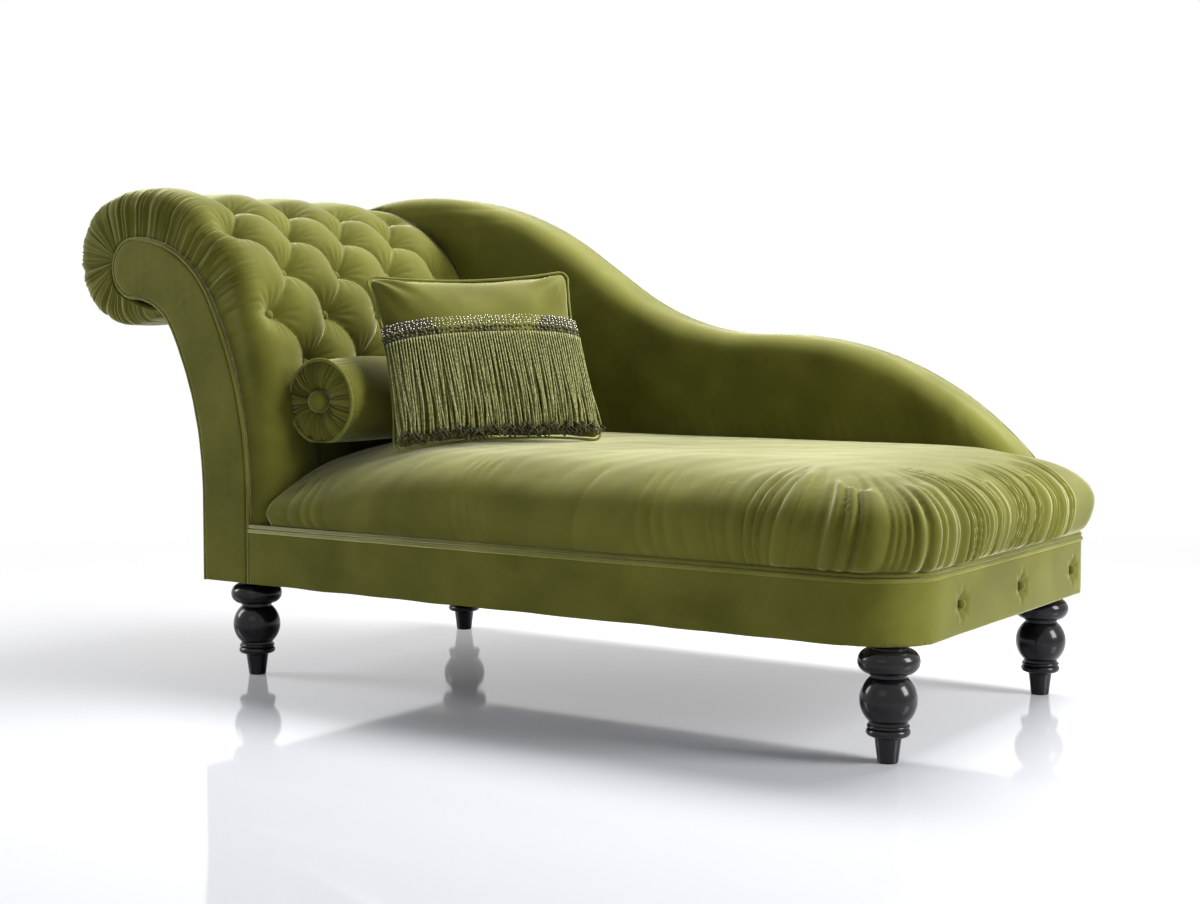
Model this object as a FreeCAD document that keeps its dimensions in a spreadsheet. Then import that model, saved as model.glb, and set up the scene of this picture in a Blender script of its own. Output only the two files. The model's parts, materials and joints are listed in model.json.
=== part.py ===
import FreeCAD, Part
import math
import os

import Sketcher

Vector = FreeCAD.Vector

# A scrolled chaise longue. Millimetres, +Z up, +X from the scrolled head to the foot,
# -Y the open front. The origin is on the floor, under the middle of the whole piece.

os.makedirs("parts", exist_ok=True)
doc = FreeCAD.newDocument("chaise_longue")

# Driving sizes

SIZES = [
    ("total_length", 1722.0, "head roll to foot crown"),
    ("body_width", 735.0, "front face to back face"),
    ("seat_run", 1260.0, "arm seam to foot face of the seat box"),
    ("pad_overhang", 18.0, "how far the seat crown swells past the foot face"),
    ("leg_height", 170.0, "floor to the underside of the seat box"),
    ("cover_height", 98.0, "padded band round the seat box"),
    ("cover_thickness", 10.0, "wadding and velvet of that band"),
    ("rail_thickness", 25.0, "beech rails"),
    ("under_gap", 2.0, "rails sit this far above the band's lower edge"),
    ("front_corner_radius", 105.0, "rounded front foot corner"),
    ("rear_corner_radius", 45.0, "rounded rear foot corner"),
    ("webbing_thickness", 2.0, "woven straps on the rails"),
    ("seat_top", 420.0, "floor to the crown of the seat"),
    ("seat_piping_radius", 3.4, "cord sewn round the seat box"),
    ("tuck_run", 390.0, "length over which the crown falls towards the head"),
    ("foam_border", 62.0, "wadding round the seat foam"),
    ("foam_height", 88.0, "thickness of the seat foam"),
    ("arm_thickness", 114.0, "scroll panel, seam to outer edge"),
    ("sweep_start", 330.0, "height where the panel starts to curve"),
    ("sweep_radius", 700.0, "first, gentle curve of the panel"),
    ("scroll_top", 786.0, "height of the panel at the scroll"),
    ("panel_thickness", 18.0, "plywood of the scroll sides and the back"),
    ("facing_thickness", 7.5, "padded facing on each scroll side"),
    ("scroll_piping_radius", 3.3, "cord round each facing"),
    ("liner_thickness", 6.0, "bent plywood under the tufted pad"),
    ("outside_thickness", 4.0, "cloth and lining on the outsides"),
    ("pad_foot", 42.0, "tufted pad at the seat"),
    ("pad_crest", 81.0, "tufted pad over the scroll"),
    ("pad_roll_radius", 117.0, "tufted pad round the roll"),
    ("roll_overhang", 44.0, "pad roll centre beyond the panel roll centre"),
    ("pad_edge_radius", 32.0, "gathered edge of the pad at each facing"),
    ("tuft_row", 92.0, "button rows along the pad's surface"),
    ("tuft_column", 145.0, "buttons across a row"),
    ("tuft_button_radius", 10.0, "covered buttons of the head"),
    ("back_thickness", 102.0, "long back, front face to back face"),
    ("back_height", 889.0, "crest of the long back"),
    ("crest_radius", 700.0, "convex crest of the long back"),
    ("fall_angle", 34.0, "slope of the long back below its crest"),
    ("dip_radius", 528.0, "concave sweep of the long back"),
    ("dip_height", 609.0, "lowest point of that sweep"),
    ("tail_radius", 650.0, "second hump of the long back"),
    ("tail_end_radius", 80.0, "turn down at the end of the long back"),
    ("tail_end_gap", 80.0, "end of the long back to the foot face"),
    ("back_edge_radius", 40.0, "rolled front edge of the long back"),
    ("board_end_gap", 5.0, "back board's end before the end of the long back"),
    ("stretcher_width", 40.0, "cross stretchers"),
    ("stretcher_height", 35.0, "cross stretchers"),
    ("rear_block_depth", 108.0, "rear foot corner block, front to back"),
    ("leg_front_inset", 49.5, "front face to the front legs' axes"),
    ("leg_rear_inset", 82.5, "back face to the rear legs' axes"),
    ("leg_head_inset", 30.0, "arm seam to the head legs' axes"),
    ("leg_foot_inset", 53.0, "foot face to the foot legs' axes"),
    ("leg_block_front", 72.0, "front head leg block, front to back"),
    ("leg_block_rear", 110.0, "rear head leg block, front to back"),
    ("leg_block_height", 62.0, "head leg blocks"),
    ("brace_leg", 70.0, "sides of the triangular braces"),
    ("dust_inset", 3.0, "dust cover's edge inside the rails"),
    ("outer_rail_height", 65.0, "lower rail of the head"),
    ("batten_width", 60.0, "battens of the head"),
    ("leg_foot_radius", 15.0, "leg at the floor"),
    ("leg_neck_radius", 27.0, "leg between its bulbs"),
    ("leg_bulb_radius", 41.5, "lower bulb"),
    ("leg_cushion_radius", 45.0, "upper bulb"),
    ("bolt_radius", 4.0, "hanger bolt in each leg"),
    ("bolt_length", 76.0, "hanger bolt"),
    ("bolster_radius", 76.5, "bolster at its middle"),
    ("bolster_length", 545.0, "bolster between its gathered ends"),
    ("bolster_front", 67.5, "front face of the chaise to the bolster"),
    ("bolster_rise", 72.0, "seat crown to the bolster's axis"),
    ("cushion_width", 370.0, "throw cushion"),
    ("cushion_height", 341.0, "throw cushion"),
    ("cushion_depth", 100.0, "throw cushion at its crown"),
    ("clearance", 0.3, "between soft pieces and their neighbours"),
]

sheet = doc.addObject("Spreadsheet::Sheet", "Sizes")
for row, (alias, number, meaning) in enumerate(SIZES, 1):
    sheet.set("A%d" % row, "'" + meaning)
    sheet.set("B%d" % row, str(number))
    sheet.setAlias("B%d" % row, alias)
doc.recompute()


class Size:
    """A length that is a number and, at the same time, an expression of the sheet's cells."""

    def __init__(self, number, words):
        self.number = number
        self.words = words

    def __float__(self):
        return float(self.number)

    def joined(self, sign, other, number):
        words = other.words if isinstance(other, Size) else repr(float(other))
        return Size(number, "(%s %s %s)" % (self.words, sign, words))

    def __add__(self, other):
        return self.joined("+", other, self.number + float(other))

    def __sub__(self, other):
        return self.joined("-", other, self.number - float(other))

    def __mul__(self, other):
        return self.joined("*", other, self.number * float(other))

    def __truediv__(self, other):
        return self.joined("/", other, self.number / float(other))

    def __neg__(self):
        return self * -1.0


def cell(alias):
    return Size(float(sheet.get(alias)), "Sizes." + alias)


# Places that follow from the driving sizes

gap = cell("clearance")
foot_x = cell("total_length") / 2 - cell("pad_overhang")
seam_x = foot_x - cell("seat_run")
arm_x = seam_x - cell("arm_thickness")
front_y = -cell("body_width") / 2
rear_y = cell("body_width") / 2
side_front_y = front_y + cell("facing_thickness")
side_rear_y = rear_y - cell("facing_thickness")
panel_inner_front = side_front_y + cell("panel_thickness")
panel_inner_rear = side_rear_y - cell("panel_thickness")
box_bottom = cell("leg_height")
rail_bottom = box_bottom + cell("under_gap")
cover_top = box_bottom + cell("cover_height")
web_top = cover_top + cell("webbing_thickness")
pad_bottom = web_top + gap
rail_front_y = front_y + cell("cover_thickness")
rail_foot_x = foot_x - cell("cover_thickness")
back_face_y = rear_y - cell("back_thickness")
board_rear_y = rear_y - cell("outside_thickness")
board_front_y = board_rear_y - cell("panel_thickness")
rear_rail_y = board_front_y - cell("rail_thickness")
back_end_x = foot_x - cell("tail_end_gap")
rear_block_y = rear_y - cell("cover_thickness")
block_x = back_end_x - cell("board_end_gap")
rear_block_low = rear_block_y - cell("rear_block_depth")

# Number forms, for outlines made of lines and arcs

GAP = float(gap)
SEAM = float(seam_x)
ARM = float(arm_x)
FOOT = float(foot_x)
FRONT = float(front_y)
REAR = float(rear_y)
BAND = float(cell("arm_thickness"))


def at(x, z):
    """A point of a side view, on the plane y = 0."""
    return Vector(x, 0.0, z)


def polar(centre, radius, degrees):
    """A point at an angle from +X towards +Z round a centre of a side view."""
    angle = math.radians(degrees)
    return centre + Vector(radius * math.cos(angle), 0.0, radius * math.sin(angle))


def arc(centre, radius, start, end):
    """An arc of a side view, drawn from one angle to another."""
    middle = (start + end) / 2.0
    points = [polar(centre, radius, angle) for angle in (start, middle, end)]
    return Part.Arc(*points)


def line(start, end):
    return Part.LineSegment(start, end)


def wire_of(pieces):
    """One closed wire from pieces given in order."""
    return Part.Wire(Part.__sortEdges__([piece.toShape() for piece in pieces]))


def prism(pieces, low_y, high_y):
    """A side-view outline made solid between two planes."""
    face = Part.Face(wire_of(pieces))
    face.translate(Vector(0.0, float(low_y), 0.0))
    return face.extrude(Vector(0.0, float(high_y) - float(low_y), 0.0))


# Document objects

nodes = []


def keep(thing, label):
    """Give a finished sub-part its own label and remember it for the export."""
    thing.Label = label
    nodes.append(thing)
    return thing


def shaped(label, shape, place=None):
    """A sub-part whose solid is worked out from the sheet's sizes."""
    thing = doc.addObject("Part::Feature", label)
    thing.Shape = shape
    if place is not None:
        thing.Placement = place
    return keep(thing, label)


def box(name, low, high):
    """A plank between two corners, each given as three sizes."""
    thing = doc.addObject("Part::Box", name)
    for side, start, end in zip(("Length", "Width", "Height"), low, high):
        thing.setExpression(side, (end - start).words)
    for axis, start in zip("xyz", low):
        thing.setExpression("Placement.Base." + axis, start.words)
    return thing


def group(label, members):
    """Several like solids that share one node."""
    thing = doc.addObject("Part::Compound", label)
    thing.Links = members
    return keep(thing, label)


def cut(label, base, tools):
    """A body with other document objects taken out of it."""
    current = base
    for number, tool in enumerate(tools):
        step = doc.addObject("Part::Cut", "%s_cut_%d" % (label, number))
        step.Base = current
        step.Tool = tool
        current = step
    return current


def body_plane(body, role):
    return [feature for feature in body.Origin.OriginFeatures if feature.Role == role][0]


def sketch_on(body, role):
    sketch = body.newObject("Sketcher::SketchObject", body.Name + "_sketch")
    sketch.AttachmentSupport = [(body_plane(body, role), "")]
    sketch.MapMode = "FlatFace"
    return sketch


def draw(sketch, pieces):
    """Put an outline of a side view into a sketch, joined end to end and held in place."""
    flat = FreeCAD.Rotation(Vector(1.0, 0.0, 0.0), -90.0)
    turned = []
    for piece in pieces:
        copy = piece.toShape()
        ends = [flat.multVec(vertex.Point) for vertex in copy.Vertexes]
        if isinstance(piece, Part.LineSegment):
            turned.append(Part.LineSegment(*ends))
        else:
            middle = flat.multVec(copy.valueAt((copy.FirstParameter + copy.LastParameter) / 2.0))
            turned.append(Part.Arc(ends[0], middle, ends[1]))
    sketch.addGeometry(turned, False)
    for number in range(len(turned)):
        sketch.addConstraint(Sketcher.Constraint("Block", number))


def slab(label, pieces, back, thickness):
    """A side-view outline padded towards the front from a plane at the given y."""
    body = doc.addObject("PartDesign::Body", label)
    sketch = sketch_on(body, "XZ_Plane")
    sketch.setExpression("AttachmentOffset.Base.z", (-back).words)
    draw(sketch, pieces)
    pad = body.newObject("PartDesign::Pad", label + "_pad")
    pad.Profile = sketch
    pad.setExpression("Length", thickness.words)
    body.Tip = pad
    return body


def moved(shape, x=0.0, y=0.0, z=0.0):
    copy = shape.copy()
    copy.translate(Vector(float(x), float(y), float(z)))
    return copy


def tube(pieces, radius):
    """A round cord along lines and arcs that meet smoothly."""
    path = Part.Wire([piece.toShape() for piece in pieces])
    first = path.Edges[0]
    start = first.valueAt(first.FirstParameter)
    heading = first.tangentAt(first.FirstParameter)
    section = Part.Wire([Part.makeCircle(float(radius), start, heading)])
    cord = path.makePipeShell([section], True, False)
    expected = math.pi * float(radius) ** 2 * path.Length
    if abs(cord.Volume - expected) > 0.02 * expected:
        raise ValueError("a cord's volume doesn't match its length")
    return cord


# Side view of the scroll
# Two tangent arcs lean the panel back from the seat and a half circle closes the roll.

roll_radius = BAND / 2.0
roll_x = -float(cell("total_length")) / 2 + float(cell("pad_roll_radius")) + float(cell("roll_overhang"))
sweep_z = float(cell("sweep_start"))
sweep_radius = float(cell("sweep_radius"))
panel_top = float(cell("scroll_top"))
run_back = SEAM - roll_x
rise = panel_top - sweep_z
radius_drop = ((sweep_radius - run_back) ** 2 + (sweep_radius - rise) ** 2) / (2 * (sweep_radius - rise))
bend_radius = sweep_radius - radius_drop
sweep_angle = math.degrees(math.acos((sweep_radius - run_back) / radius_drop))
sweep_centre = at(SEAM - sweep_radius, sweep_z)
bend_centre = at(roll_x, panel_top - bend_radius)
roll_centre = at(roll_x, panel_top - roll_radius)


def panel_outline(bottom, inset=0.0):
    """The scroll panel's band, drawn in from its edge by an inset."""
    floor = float(bottom)
    inner = SEAM - inset
    outer = ARM + inset
    return [
        line(at(inner, floor), at(inner, sweep_z)),
        arc(sweep_centre, sweep_radius - inset, 0.0, sweep_angle),
        arc(bend_centre, bend_radius - inset, sweep_angle, 90.0),
        arc(roll_centre, roll_radius - inset, 90.0, 180.0),
        arc(roll_centre, roll_radius - inset, 180.0, 270.0),
        arc(bend_centre, bend_radius - BAND + inset, 90.0, sweep_angle),
        arc(sweep_centre, sweep_radius - BAND + inset, sweep_angle, 0.0),
        line(at(outer, sweep_z), at(outer, floor)),
        line(at(outer, floor), at(inner, floor)),
    ]


def panel_edge(bottom, inset):
    """The same outline left open at the floor, for a cord sewn along it."""
    return panel_outline(bottom, inset)[:-1]


# Side view of the tufted pad
# It grows from the seat to the crest, rolls over the scroll and tucks in below it.

pad_x = SEAM + float(cell("pad_foot"))
pad_crest = float(cell("pad_crest"))
pad_roll = float(cell("pad_roll_radius"))
crest_radius = bend_radius + pad_crest
slope_run = pad_x - roll_x
slope_rise = bend_centre.z - sweep_z
slope_radius = (slope_run ** 2 + slope_rise ** 2 - crest_radius ** 2) / (2 * (slope_run - crest_radius))
slope_centre = at(pad_x - slope_radius, sweep_z)
slope_angle = math.degrees(math.atan2(slope_rise, slope_radius - slope_run))
roll_reach = crest_radius - pad_roll
roll_angle = math.degrees(math.acos(-float(cell("roll_overhang")) / roll_reach))
pad_roll_centre = polar(bend_centre, roll_reach, roll_angle)
tuck_angle = 52.0
tuck_point = polar(bend_centre, bend_radius - BAND - GAP, tuck_angle)
pad_low = polar(pad_roll_centre, pad_roll, 270.0)
under_run = tuck_point.x - pad_low.x
under_rise = tuck_point.z - pad_low.z
under_radius = (under_run ** 2 + under_rise ** 2) / (2 * under_rise)
under_centre = at(pad_low.x, pad_low.z + under_radius)
under_angle = math.degrees(math.atan2(under_run, under_radius - under_rise))
under_past_tuck = 12.0


def pad_face(bottom, grow=0.0):
    """The pad's outer face, from the seat up and over to the lowest point of its roll."""
    return [
        line(at(pad_x + grow, float(bottom)), at(pad_x + grow, sweep_z)),
        arc(slope_centre, slope_radius + grow, 0.0, slope_angle),
        arc(bend_centre, crest_radius + grow, slope_angle, roll_angle),
        arc(pad_roll_centre, pad_roll + grow, roll_angle, 180.0),
        arc(pad_roll_centre, pad_roll + grow, 180.0, 270.0),
    ]


def pad_block(bottom, grow=0.0):
    """Everything behind the pad's outer face, as one closed outline."""
    face = pad_face(bottom, grow)
    last = 270.0 + under_angle + under_past_tuck
    inside = polar(under_centre, under_radius + grow, last)
    base = at(inside.x, float(bottom))
    under = arc(under_centre, under_radius + grow, 270.0, last)
    return face + [under, line(inside, base), line(base, face[0].StartPoint)]


def pad_section(bottom):
    """The pad alone, closed along the panel that it wraps."""
    floor = float(bottom)
    inner = [
        arc(bend_centre, bend_radius - BAND - GAP, tuck_angle, 90.0),
        arc(roll_centre, roll_radius + GAP, 270.0, 180.0),
        arc(roll_centre, roll_radius + GAP, 180.0, 90.0),
        arc(bend_centre, bend_radius + GAP, 90.0, sweep_angle),
        arc(sweep_centre, sweep_radius + GAP, sweep_angle, 0.0),
        line(at(SEAM + GAP, sweep_z), at(SEAM + GAP, floor)),
        line(at(SEAM + GAP, floor), at(pad_x, floor)),
    ]
    under = arc(under_centre, under_radius, 270.0, 270.0 + under_angle)
    return pad_face(bottom) + [under] + inner


def pad_station(distance):
    """A point of the pad's face and its outward normal, by distance along the face.

    Distance is counted from where the long slope meets the crest."""
    if distance < 0.0:
        angle = slope_angle + math.degrees(distance / slope_radius)
        return polar(slope_centre, slope_radius, angle), polar(Vector(), 1.0, angle)
    angle = slope_angle + math.degrees(distance / crest_radius)
    return polar(bend_centre, crest_radius, angle), polar(Vector(), 1.0, angle)


# Side view of the long back
# A convex crest, a straight fall, a concave dip and a second hump run down to the seat.

crest_x = -560.0
HEAD_BELOW = 5.0


def back_line(grow=0.0):
    """The camel line of the long back, left to right, and its end, as smooth pieces."""
    fall = float(cell("fall_angle"))
    sine = math.sin(math.radians(fall))
    cosine = math.cos(math.radians(fall))
    height = float(cell("back_height"))
    crest = float(cell("crest_radius"))
    dip = float(cell("dip_radius"))
    low = float(cell("dip_height"))
    tail = float(cell("tail_radius"))
    turn = float(cell("tail_end_radius"))
    end_x = float(back_end_x)
    crest_c = at(crest_x, height - crest)
    crest_end = polar(crest_c, crest + grow, 90.0 - fall)
    dip_start_z = low + dip * (1.0 - cosine)
    drop = height - crest * (1.0 - cosine) - dip_start_z
    dip_start_x = crest_x + crest * sine + drop * cosine / sine
    dip_c = at(dip_start_x + dip * sine, low + dip)
    dip_start = polar(dip_c, dip - grow, 270.0 - fall)
    turn_c_x = end_x - turn
    tail_turn = 47.0
    tail_c = at(turn_c_x - (tail - turn) * math.sin(math.radians(tail_turn)), low - tail)
    turn_c = polar(tail_c, tail - turn, 90.0 - tail_turn)
    return [
        arc(crest_c, crest + grow, 108.0, 90.0 - fall),
        line(crest_end, dip_start),
        arc(dip_c, dip - grow, 270.0 - fall, 270.0),
        line(at(dip_c.x, low + grow), at(tail_c.x, low + grow)),
        arc(tail_c, tail + grow, 90.0, 90.0 - tail_turn),
        arc(turn_c, turn + grow, 90.0 - tail_turn, 0.0),
    ]


def back_block(bottom, grow=0.0):
    """Everything below the camel line, as one closed outline that runs past the scroll."""
    top = back_line(grow)
    start = top[0].value(top[0].FirstParameter)
    shapes = [piece.toShape() for piece in top]
    left = min((vertex.Point for vertex in shapes[0].Vertexes), key=lambda point: point.x)
    right = min((vertex.Point for vertex in shapes[-1].Vertexes), key=lambda point: point.z)
    base_right = at(right.x, float(bottom))
    base_left = at(left.x, float(bottom))
    return top + [line(right, base_right), line(base_right, base_left), line(base_left, left)]


TOUCH = 0.01


def rounded(solid, front, radius, both_faces=False):
    """Round the smooth upper chain of a block where it meets its front, or both faces."""
    bounds = solid.BoundBox
    planes = [bounds.YMin, bounds.YMax] if both_faces else [float(front)]
    chosen = []
    for edge in solid.Edges:
        extent = edge.BoundBox
        middle = edge.valueAt((edge.FirstParameter + edge.LastParameter) / 2.0)
        flat = extent.YLength < TOUCH
        on_plane = flat and any(abs(extent.YMin - plane) < TOUCH for plane in planes)
        on_floor = abs(middle.z - bounds.ZMin) < TOUCH
        upright = extent.XLength < TOUCH
        hidden = abs(middle.x - bounds.XMax) > TOUCH if both_faces else abs(middle.x - bounds.XMin) < TOUCH
        if on_plane and not on_floor and not (upright and hidden):
            chosen.append(edge)
    return solid.makeFillet(float(radius), chosen)


# Seat box

def rails():
    thick = cell("rail_thickness")
    corner = cell("front_corner_radius")
    start_x = seam_x + thick
    front_end = foot_x - corner
    front = box("front_rail", (start_x, rail_front_y, rail_bottom),
                (front_end, rail_front_y + thick, cover_top))
    head = box("head_rail", (seam_x, rail_front_y, rail_bottom), (start_x, board_front_y, cover_top))
    rear = box("rear_rail", (start_x, rear_rail_y, rail_bottom), (block_x, board_front_y, cover_top))
    foot = box("foot_rail", (rail_foot_x - thick, front_y + corner, rail_bottom),
               (rail_foot_x, rear_block_low, cover_top))
    for thing in (front, head, rear, foot):
        keep(thing, thing.Name)
    third = cell("seat_run") / 3
    bars = []
    for number in (1, 2):
        x = seam_x + third * float(number)
        bars.append(box("stretcher_bar_%d" % number, (x, rail_front_y + thick, rail_bottom),
                        (x + cell("stretcher_width"), rear_rail_y, rail_bottom + cell("stretcher_height"))))
    group("cross_stretchers", bars)


def plan_point(x, y, z=0.0):
    return Vector(float(x), float(y), float(z))


def corner_block(label, low_x, low_y, high_y, round_y, radius, leg):
    """A solid corner of the seat box, rounded outside, with a bore for its leg's bolt."""
    x0 = float(low_x)
    x1 = float(rail_foot_x)
    y0 = float(low_y)
    y1 = float(high_y)
    r = float(radius) - float(cell("cover_thickness"))
    turn = r * (1.0 - math.sqrt(0.5))
    near, far, inward = (y0, y1, 1.0) if round_y < 0 else (y1, y0, -1.0)
    turn_start = Vector(x1 - r, near)
    turn_end = Vector(x1, near + inward * r)
    rounding = Part.Arc(turn_start, Vector(x1 - turn, near + inward * turn), turn_end)
    path = [turn_end, Vector(x1, far), Vector(x0, far), Vector(x0, near), turn_start]
    sides = zip(path, path[1:])
    pieces = [rounding] + [line(start, end) for start, end in sides if start.distanceToPoint(end) > 0.01]
    body = doc.addObject("PartDesign::Body", label)
    sketch = sketch_on(body, "XY_Plane")
    sketch.setExpression("AttachmentOffset.Base.z", box_bottom.words)
    sketch.addGeometry(pieces, False)
    for number in range(len(pieces)):
        sketch.addConstraint(Sketcher.Constraint("Block", number))
    pad = body.newObject("PartDesign::Pad", label + "_pad")
    pad.Profile = sketch
    pad.setExpression("Length", cell("cover_height").words)
    doc.recompute()
    bore = body.newObject("Sketcher::SketchObject", label + "_bore_sketch")
    bore.AttachmentSupport = [(body_plane(body, "XY_Plane"), "")]
    bore.MapMode = "FlatFace"
    bore.setExpression("AttachmentOffset.Base.z", box_bottom.words)
    bore.addGeometry(Part.Circle(plan_point(leg[0], leg[1]), Vector(0, 0, 1),
                                 float(cell("bolt_radius")) + GAP / 2.0), False)
    bore.addConstraint(Sketcher.Constraint("Block", 0))
    pocket = body.newObject("PartDesign::Pocket", label + "_bore")
    pocket.Profile = bore
    pocket.Reversed = True
    pocket.setExpression("Length", (cell("bolt_length") / 2 + gap).words)
    body.Tip = pocket
    doc.recompute()
    if pocket.Shape.Volume > pad.Shape.Volume - 1.0:
        raise ValueError("the bore of %s cuts nothing" % label)
    return keep(body, label)


leg_front_y = front_y + cell("leg_front_inset")
leg_rear_y = rear_y - cell("leg_rear_inset")
leg_head_x = seam_x - cell("leg_head_inset")
leg_foot_x = foot_x - cell("leg_foot_inset")
LEGS = {
    "leg_head_front": (leg_head_x, leg_front_y),
    "leg_head_rear": (leg_head_x, leg_rear_y),
    "leg_foot_front": (leg_foot_x, leg_front_y),
    "leg_foot_rear": (leg_foot_x, leg_rear_y),
}


def corner_blocks():
    corner = cell("front_corner_radius")
    corner_block("foot_corner_front", foot_x - corner, rail_front_y, front_y + corner, -1, corner,
                 LEGS["leg_foot_front"])
    rear = cell("rear_corner_radius")
    corner_block("foot_corner_rear", block_x, rear_block_low, rear_block_y, 1, rear,
                 LEGS["leg_foot_rear"])


def head_leg_blocks():
    """Two blocks between the scroll sides that the head legs screw into."""
    blocks = []
    outer = arm_x + cell("rail_thickness")
    for name, low, high in (("front", panel_inner_front, panel_inner_front + cell("leg_block_front")),
                            ("rear", panel_inner_rear - cell("leg_block_rear"), panel_inner_rear)):
        block_top = box_bottom + cell("leg_block_height")
        block = box("leg_block_" + name, (outer, low, box_bottom), (seam_x, high, block_top))
        hole = doc.addObject("Part::Cylinder", "leg_block_hole_" + name)
        x, y = LEGS["leg_head_" + name]
        hole.setExpression("Radius", (cell("bolt_radius") + gap / 2).words)
        hole.setExpression("Height", (cell("bolt_length") / 2 + gap).words)
        hole.setExpression("Placement.Base.x", x.words)
        hole.setExpression("Placement.Base.y", y.words)
        hole.setExpression("Placement.Base.z", box_bottom.words)
        blocks.append(cut("leg_block_" + name, block, [hole]))
    group("head_leg_blocks", blocks)


def corner_braces():
    """Two triangular glue blocks in the head corners of the seat box."""
    leg = float(cell("brace_leg"))
    braces = []
    x = float(seam_x + cell("rail_thickness"))
    for name, y, turn in (("front", float(rail_front_y + cell("rail_thickness")), 1.0),
                          ("rear", float(rear_rail_y), -1.0)):
        body = doc.addObject("PartDesign::Body", "brace_" + name)
        sketch = sketch_on(body, "XY_Plane")
        sketch.setExpression("AttachmentOffset.Base.z", rail_bottom.words)
        points = [Vector(x, y), Vector(x + leg, y), Vector(x, y + turn * leg)]
        sides = [Part.LineSegment(points[k], points[(k + 1) % 3]) for k in range(3)]
        sketch.addGeometry(sides, False)
        for number in range(3):
            sketch.addConstraint(Sketcher.Constraint("Block", number))
        pad = body.newObject("PartDesign::Pad", "brace_pad_" + name)
        pad.Profile = sketch
        pad.setExpression("Length", (cell("cover_height") / 2).words)
        body.Tip = pad
        braces.append(body)
    group("corner_braces", braces)


# Legs

def leg_outline():
    """Half of the turned leg: tapered foot, collar with two beads, two bulbs and a flared top."""
    top = float(box_bottom)
    foot = float(cell("leg_foot_radius"))
    neck = float(cell("leg_neck_radius"))
    bulb = float(cell("leg_bulb_radius"))
    cushion = float(cell("leg_cushion_radius"))
    bore = float(cell("bolt_radius")) + GAP / 2.0
    bore_floor = top - float(cell("bolt_length")) / 2 - GAP
    share = top / 170.0
    profile = [
        ("line", foot - 2.0, 0.0),
        ("arc", foot, 2.0, foot - 0.6, 0.6),
        ("line", foot + 4.4, 36.0),
        ("line", foot + 10.0, 39.0),
        ("arc", neck + 1.5, 50.5, neck + 5.0, 45.0),
        ("arc", neck + 1.5, 56.0, neck + 3.8, 53.2),
        ("line", neck + 1.0, 60.0),
        ("arc", neck - 0.5, 124.0, bulb, 91.0),
        ("line", neck - 0.5, 129.0),
        ("arc", neck - 0.5, 165.0, cushion, 147.5),
        ("arc", neck + 1.8, 170.0, neck, 168.3),
    ]
    pieces = []
    here = at(0.0, 0.0)
    for step in profile:
        there = at(step[1], step[2] * share)
        if step[0] == "line":
            pieces.append(line(here, there))
        else:
            pieces.append(Part.Arc(here, at(step[3], step[4] * share), there))
        here = there
    for corner in (at(bore, top), at(bore, bore_floor), at(0.0, bore_floor), at(0.0, 0.0)):
        pieces.append(line(here, corner))
        here = corner
    return pieces


def legs():
    for label, (x, y) in LEGS.items():
        body = doc.addObject("PartDesign::Body", label)
        sketch = sketch_on(body, "XZ_Plane")
        draw(sketch, leg_outline())
        turning = body.newObject("PartDesign::Revolution", label + "_turning")
        turning.Profile = sketch
        turning.ReferenceAxis = (sketch, ["V_Axis"])
        turning.Angle = 360.0
        body.Tip = turning
        body.setExpression("Placement.Base.x", x.words)
        body.setExpression("Placement.Base.y", y.words)
        keep(body, label)
    bolts = []
    for number, (x, y) in enumerate(LEGS.values()):
        bolt = doc.addObject("Part::Cylinder", "hanger_bolt_%d" % number)
        bolt.setExpression("Radius", cell("bolt_radius").words)
        bolt.setExpression("Height", cell("bolt_length").words)
        bolt.setExpression("Placement.Base.x", x.words)
        bolt.setExpression("Placement.Base.y", y.words)
        bolt.setExpression("Placement.Base.z", (box_bottom - cell("bolt_length") / 2).words)
        bolts.append(bolt)
    group("leg_bolts", bolts)


def dust_cover():
    """Thin cloth under the seat box and the head, cut away round the leg blocks."""
    inset = cell("dust_inset")
    thin = cell("under_gap") - gap * 2
    low = (arm_x + inset, rail_front_y + inset, box_bottom + gap)
    high = (rail_foot_x - inset, rear_block_y - inset, box_bottom + gap + thin)
    plate = box("dust_cloth", low, high)
    clear = 1.0
    past = 10.0
    corner = cell("front_corner_radius")
    far = foot_x + past
    floor = box_bottom - past
    roof = rail_bottom + past
    block_low = arm_x + cell("rail_thickness") - clear
    front_high = panel_inner_front + cell("leg_block_front") + clear
    rear_low = panel_inner_rear - cell("leg_block_rear") - clear
    rear_high = panel_inner_rear + clear
    head_high = seam_x + clear
    notches = [
        box("notch_front", (foot_x - corner - clear, front_y - past, floor),
            (far, front_y + corner + clear, roof)),
        box("notch_rear", (block_x - clear, rear_block_low - clear, floor), (far, rear_y + past, roof)),
        box("notch_head_front", (block_low, panel_inner_front - clear, floor), (head_high, front_high, roof)),
        box("notch_head_rear", (block_low, rear_low, floor), (head_high, rear_high, roof)),
    ]
    keep(cut("dust_cover", plate, notches), "dust_cover")


# Seat

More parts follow.
